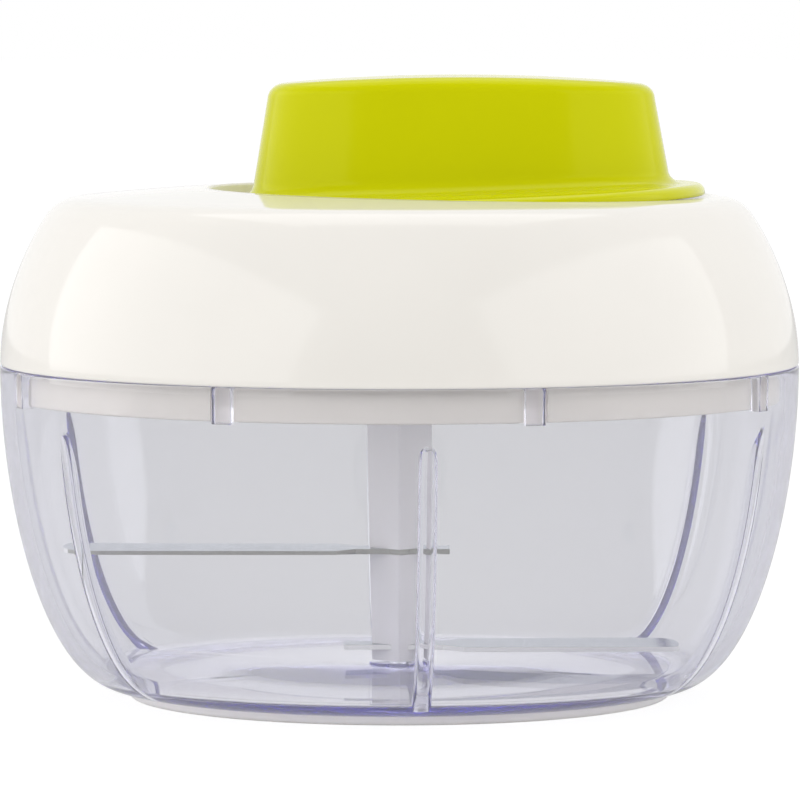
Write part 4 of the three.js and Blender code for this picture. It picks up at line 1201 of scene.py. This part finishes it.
inner_mouth = grip_ring(GRIP["wall"], GRIP["mouth"] / inner_height, GRIP["wall"])
inside_rings = [inner_mouth] + list(reversed(inner_top))
grip_rings = (top_rings + side_rings + fillet_rings + flange_rings + under_rings
              + inside_rings)
print("rings in the grip:", len(grip_rings))

# %% [markdown]
# The first and the last ring are closed with a small cap in the middle of the flat, where
# nothing bends. Two posts inside take the screws of the underplate.

# %% Draw the grip out
POST = {"inner": 1.4, "outer": 2.8, "foot": 0.9}
post_places = [GRIP["x"] - 16, GRIP["x"] + 16]
grip, first_edges, last_edges = drawn_out(grip_rings)
for loop in (first_edges, last_edges):
    cap = bmesh.ops.edgeloop_fill(grip, edges=loop)["faces"]
    bmesh.ops.poke(grip, faces=cap)
bmesh.ops.recalc_face_normals(grip, faces=grip.faces)
for x in post_places:
    tube(grip, (x, 0), POST["inner"], POST["outer"],
         dock_level(x + POST["outer"], -POST["foot"]), grip_top(x, 1.0))
finished("green_grip_shell", grip, "grip_body", "grip_shell", material=grip_green, crease=35)

# %% [markdown]
# A grey plate closes the grip from below. It has sinks for its two screws and a hole for the
# cord, which leaves it slanted in the direction of the pull.

# %% The grip's underplate
PLATE = {"gap": 0.3, "edge": 0.3, "rise": 0.6}
DRILL = {"low": 70, "high": 82, "hole": 1.4, "sink": 2.4, "sink_depth": 1.4}
CORD_DRILL = {"radius": 1.5, "low": -3, "high": 5}


def at_the_exit(bm):
    """Tilt an upright shape into the pull's direction and set it on the cord's exit."""
    swung(bm, math.degrees(PULL_TILT), "Y")
    bmesh.ops.translate(bm, verts=bm.verts, vec=CORD_EXIT)
    return bm


plate_inset, plate_edge = GRIP["wall"] + PLATE["gap"], PLATE["edge"]
plate_rings = [grip_ring(plate_inset + plate_edge, -FLANGE["thickness"] / grip_height),
               grip_ring(plate_inset, -(FLANGE["thickness"] - plate_edge) / grip_height),
               grip_ring(plate_inset, PLATE["rise"] / grip_height)]
under, first_edges, last_edges = drawn_out(plate_rings)
for loop in (first_edges, last_edges):
    bmesh.ops.edgeloop_fill(under, edges=loop)
drills = []
for x in post_places:
    seat = dock_level(x - SMALL_SCREW["head"], FLANGE["thickness"]) + DRILL["sink_depth"]
    hole = rod(bmesh.new(), (x, 0), DRILL["hole"], DRILL["low"], DRILL["high"])
    sink = rod(bmesh.new(), (x, 0), DRILL["sink"], DRILL["low"], seat, 40)
    drills.append(combined(hole, sink, "UNION"))
cord_hole = at_the_exit(rod(bmesh.new(), (0, 0), CORD_DRILL["radius"], CORD_DRILL["low"],
                            CORD_DRILL["high"], 40))
under = combined(under, gathered(drills + [cord_hole]), "DIFFERENCE")
finished("grip_underplate_grey", under, "grip_body", "grip_underplate", material=inner_grey)

# %% [markdown]
# ## The cord and its guide
# The cord guide is a bent tube that leads the cord from the reel to the recess. Its upper
# end shows in the recess's floor once the grip is pulled out. A curve with a round bevel
# makes such tubes and cords best, and it is turned into a mesh at once.

# %% Tubes and cords along a route


def along_route(name, points, radius, sides, thickness=0.0):
    """A round bar along points in mm. With a thickness it is a tube with that wall."""
    curve = bpy.data.curves.new(name, "CURVE")
    curve.dimensions = "3D"
    curve.bevel_depth = radius * MM
    curve.bevel_resolution = max(1, sides // 4 - 1)
    curve.use_fill_caps = not thickness
    line = curve.splines.new("POLY")
    line.points.add(len(points) - 1)
    for spot, point in zip(line.points, points):
        spot.co = (*(Vector(point) * MM), 1)
    carrier = bpy.data.objects.new(name, curve)
    scene.collection.objects.link(carrier)
    depsgraph = bpy.context.evaluated_depsgraph_get()
    mesh = bpy.data.meshes.new_from_object(carrier.evaluated_get(depsgraph))
    bm = bmesh.new()
    bm.from_mesh(mesh)
    bpy.data.objects.remove(carrier, do_unlink=True)
    bpy.data.curves.remove(curve)
    bpy.data.meshes.remove(mesh)
    tidied(bm)
    if thickness:
        bmesh.ops.solidify(bm, geom=bm.faces, thickness=thickness * MM)
    return bm


def bezier_route(start, pull_out, pull_in, end, steps):
    return list(interpolate_bezier(*[Vector(p) for p in (start, pull_out, pull_in, end)],
                                   steps + 1))


# %% [markdown]
# The guide starts beside the reel, at the height at which the cord leaves it, bends upwards
# and ends at the lip in the recess. A collar lies under the recess's floor.

# %% The cord guide
REEL = {"wind": 16.2, "start": 53.7, "pitch": 2.4, "turns": 2.95}
GUIDE = {"start": 5.9, "bend": 4, "radius": 2.8, "wall": 1.4}
COLLAR = {"inner": 2.1, "outer": 4.4, "height": 1.6, "gap": 0.3}
lead_level = REEL["start"] + REEL["turns"] * REEL["pitch"]
lead_angle = -math.acos(REEL["wind"] / GUIDE_X)
lead_way = Vector((-math.sin(lead_angle), math.cos(lead_angle), 0))
corner = Vector((GUIDE_X, 0, lead_level))
bend_in, bend_out = corner - lead_way * GUIDE["bend"], corner + Vector((0, 0, GUIDE["bend"]))
bend = bezier_route(bend_in, bend_in.lerp(corner, 2 / 3), bend_out.lerp(corner, 2 / 3),
                    bend_out, 12)
exit_point = CORD_EXIT / MM
guide_route = [corner - lead_way * GUIDE["start"]] + bend + [exit_point]
guide = along_route("guide", guide_route, GUIDE["radius"], 32, GUIDE["wall"])
collar_top = dock_level(GUIDE_X - COLLAR["outer"], RECESS["under"]) - COLLAR["gap"]
tube(guide, (GUIDE_X, 0), COLLAR["inner"], COLLAR["outer"], collar_top - COLLAR["height"],
     collar_top, 40)
finished("cord_guide_tube", guide, "lid_body", "cord_guide", material=natural_acetal)

# %% [markdown]
# The wound cord makes nearly three turns on the reel, then runs straight to the guide, up
# through it and over its lip. It is one spiral with a bend and a lip, so its length can be
# measured along the same points.

# %% The cord on the reel and through the guide
CORD_RADIUS = 0.9
WOUND_STEPS = 160
winding = []
for k in range(WOUND_STEPS + 1):
    share = k / WOUND_STEPS
    angle = lead_angle - (1 - share) * REEL["turns"] * TURN
    winding.append(Vector((REEL["wind"] * math.cos(angle), REEL["wind"] * math.sin(angle),
                           REEL["start"] + share * REEL["turns"] * REEL["pitch"])))
lip = bezier_route(exit_point - Vector((0, 0, 1.2)), exit_point - Vector((0, 0, 0.4)),
                   exit_point + PULL * 0.3, exit_point + PULL * 0.9, 8)
cord_route = winding + bend + lip
wound = along_route("wound", cord_route, CORD_RADIUS, 16)
finished("pull_cord_wound", wound, "lid_body", "cord_winding", "cord_lead",
         material=cord_wound, crease=60)
cord_length = sum((b - a).length for a, b in zip(cord_route, cord_route[1:]))
print("cord on the reel and in the guide:", round(cord_length), "mm")

# %% [markdown]
# The stretch that leaves the guide runs straight from the lip in the pull's direction, where
# the real cord grows when it is drawn out. It is cut into short lengths along the cord.

# %% The stretch that is drawn out
LIP_END, KNOT = 0.9, 7.0
STRETCH_CUTS = 180
stretch = rod(bmesh.new(), (0, 0), CORD_RADIUS, LIP_END, KNOT, 16)
bmesh.ops.subdivide_edges(stretch, edges=upright_edges(stretch), cuts=STRETCH_CUTS,
                          use_grid_fill=False)
at_the_exit(stretch)
mesh = bpy.data.meshes.new("pull_cord_stretch")
for face in stretch.faces:
    face.smooth = len(face.verts) == 4
tidied(stretch).to_mesh(mesh)
stretch.free()
mesh.materials.append(cord_pulled)
cord_stretch = bpy.data.objects.new("pull_cord_stretch", mesh)
scene.collection.objects.link(cord_stretch)
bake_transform(cord_stretch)
print("pull_cord_stretch", len(mesh.polygons), "faces")

# %% [markdown]
# The knot is the cord's end inside the grip, too thick to slip back through the underplate.
# Its route is a trefoil, the loop that an overhand knot makes when its ends are joined.

# %% The knot
KNOT_STEPS = 72
KNOT_SCALE = 0.36
KNOT_CORD = 0.62
knot_middle = exit_point + PULL * KNOT
knot_route = []
for k in range(KNOT_STEPS + 1):
    t = TURN * k / KNOT_STEPS
    loop = Vector((math.sin(t) + 2 * math.sin(2 * t), math.cos(t) - 2 * math.cos(2 * t),
                   -math.sin(3 * t))) * KNOT_SCALE
    knot_route.append(knot_middle + loop)
knot = along_route("knot", knot_route, KNOT_CORD, 12)
finished("pull_cord_knot", knot, "grip_body", "cord_end", material=cord_wound, crease=60)

# %% [markdown]
# ## Parts that stay hidden in the lid
# The reel, its spindle, the spring in its cup and the pawls lie inside the closed lid. Their
# engineering shapes are already right, so they keep them and only get their finishes.

# %% Finish the hidden parts
HIDDEN = {
    "cord_reel": natural_acetal, "pawl_1": natural_acetal, "pawl_2": natural_acetal,
    "reel_spindle": turned_steel, "reel_washer": turned_steel,
    "spring_cup": inner_grey, "spring_cover": inner_grey, "recoil_spring": spring_steel,
}
for node, finish in HIDDEN.items():
    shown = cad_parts[node]
    shown.data.materials.clear()
    shown.data.materials.append(finish)
print("hidden parts finished:", len(HIDDEN))

# %% [markdown]
# ## The studio
# The photograph has a white ground. The world is white wherever the camera or the clear
# plastic looks past the object. It is dimmer as a light, so that colours stay as they are
# written. In mirror-like surfaces it is white too, but darker on the camera's side, as a room
# is behind a photographer.

# %% The world
ROOM_LIGHT = 0.64
DARK_SIDE = 0.35
WHITE = (1, 1, 1, 1)
world = bpy.data.worlds.new("studio")
scene.world = world
world.use_nodes = True
tree = world.node_tree
light_fill = tree.nodes["Background"]
set_sockets(light_fill, Color=WHITE, Strength=ROOM_LIGHT)
white = new_node(tree, "Background", Color=WHITE)
ray = new_node(tree, "LightPath").outputs
place = new_node(tree, "TexCoord")
split = new_node(tree, "SeparateXYZ")
tree.links.new(place.outputs["Generated"], split.inputs["Vector"])
side = new_node(tree, "MapRange", From_Min=-0.5, From_Max=0.2, To_Min=DARK_SIDE)
tree.links.new(split.outputs["Y"], side.inputs["Value"])
seen = arithmetic(tree, "MAXIMUM", ray["Is Camera Ray"], ray["Is Transmission Ray"])
mirrored = arithmetic(tree, "MULTIPLY", ray["Is Glossy Ray"], side.outputs["Result"])
tree.links.new(arithmetic(tree, "MAXIMUM", seen, mirrored), white.inputs["Strength"])
direct = arithmetic(tree, "MAXIMUM", seen, ray["Is Glossy Ray"])
either(tree, tree.nodes["World Output"], direct, light_fill, white)

# %% [markdown]
# Two wide soft lights stand at the sides, well round from the camera. Their edges show as
# faint slanted lines on the lid's gloss, as in the photograph. A third one lies above and a
# little behind, and lights the tops of the lid and the grip.

# %% The lamps


def soft_light(name, azimuth, distance, height, size, power):
    """A softbox that faces the chopper. Azimuth is counted from the camera's side."""
    data = bpy.data.lights.new(name, "AREA")
    data.shape = "RECTANGLE"
    data.size, data.size_y = size
    data.energy = power
    angle = math.radians(azimuth)
    lamp = bpy.data.objects.new(name, data)
    lamp.location = (distance * math.sin(angle), -distance * math.cos(angle), height)
    aim = Vector((0, 0, 0.06)) - lamp.location
    lamp.rotation_euler = aim.to_track_quat("-Z", "Y").to_euler()
    scene.collection.objects.link(lamp)
    print(name, size, "m,", power, "W")


soft_light("softbox_left", -74, 1.0, 0.39, (2.1, 0.88), 6.4)
soft_light("softbox_right", 68, 1.0, 0.39, (1.7, 0.88), 4.4)
soft_light("softbox_above", 180, 0.15, 1.1, (1.0, 1.0), 3.5)

# %% [markdown]
# Most of what the camera, the clear plastic and mirror-like surfaces see of the pale floor is
# its own glow, so that the ground stays white and a soft shadow is left in it. The glow is
# weaker for all but the camera, because the inside of the photographed bowl is slightly grey.

# %% The floor
GLOW_SHARE = 0.8
GLOW = 0.64
CAMERA_GLOW = 0.48
FLOOR_RADIUS = 6.0
floor_material = bpy.data.materials.new("pale_floor")
floor_material.use_nodes = True
tree = floor_material.node_tree
floor_shader = tree.nodes["Principled BSDF"]
set_sockets(floor_shader, Base_Color=(0.9, 0.9, 0.9, 1), Roughness=0.8)
glow = new_node(tree, "Emission")
ray = new_node(tree, "LightPath").outputs
strength = arithmetic(tree, "MULTIPLY_ADD", ray["Is Camera Ray"], CAMERA_GLOW, GLOW)
tree.links.new(strength, glow.inputs["Strength"])
shown = arithmetic(tree, "MAXIMUM", ray["Is Camera Ray"], arithmetic(
    tree, "MAXIMUM", ray["Is Glossy Ray"], ray["Is Transmission Ray"]))
share = arithmetic(tree, "MULTIPLY", shown, GLOW_SHARE)
either(tree, tree.nodes["Material Output"], share, floor_shader, glow)
floor_mesh = bpy.data.meshes.new("pale_floor")
floor_shape = bmesh.new()
bmesh.ops.create_circle(floor_shape, cap_ends=True, segments=96, radius=FLOOR_RADIUS)
floor_shape.to_mesh(floor_mesh)
floor_shape.free()
floor_mesh.materials.append(floor_material)
floor = bpy.data.objects.new("pale_floor", floor_mesh)
scene.collection.objects.link(floor)
print("floor:", FLOOR_RADIUS, "m round")

# %% [markdown]
# ## Last steps
# The view transform is Standard, so that colours come out as they are written. Light that is
# caught in the bowl's ribs is reflected many times before it gets out, so more bounces are
# allowed than usual, or the ribs would turn black.

# %% Set the view and the bounces
BOUNCES = 48
scene.view_settings.view_transform = "Standard"
scene.cycles.max_bounces = BOUNCES
scene.cycles.transmission_bounces = BOUNCES
scene.cycles.glossy_bounces = BOUNCES
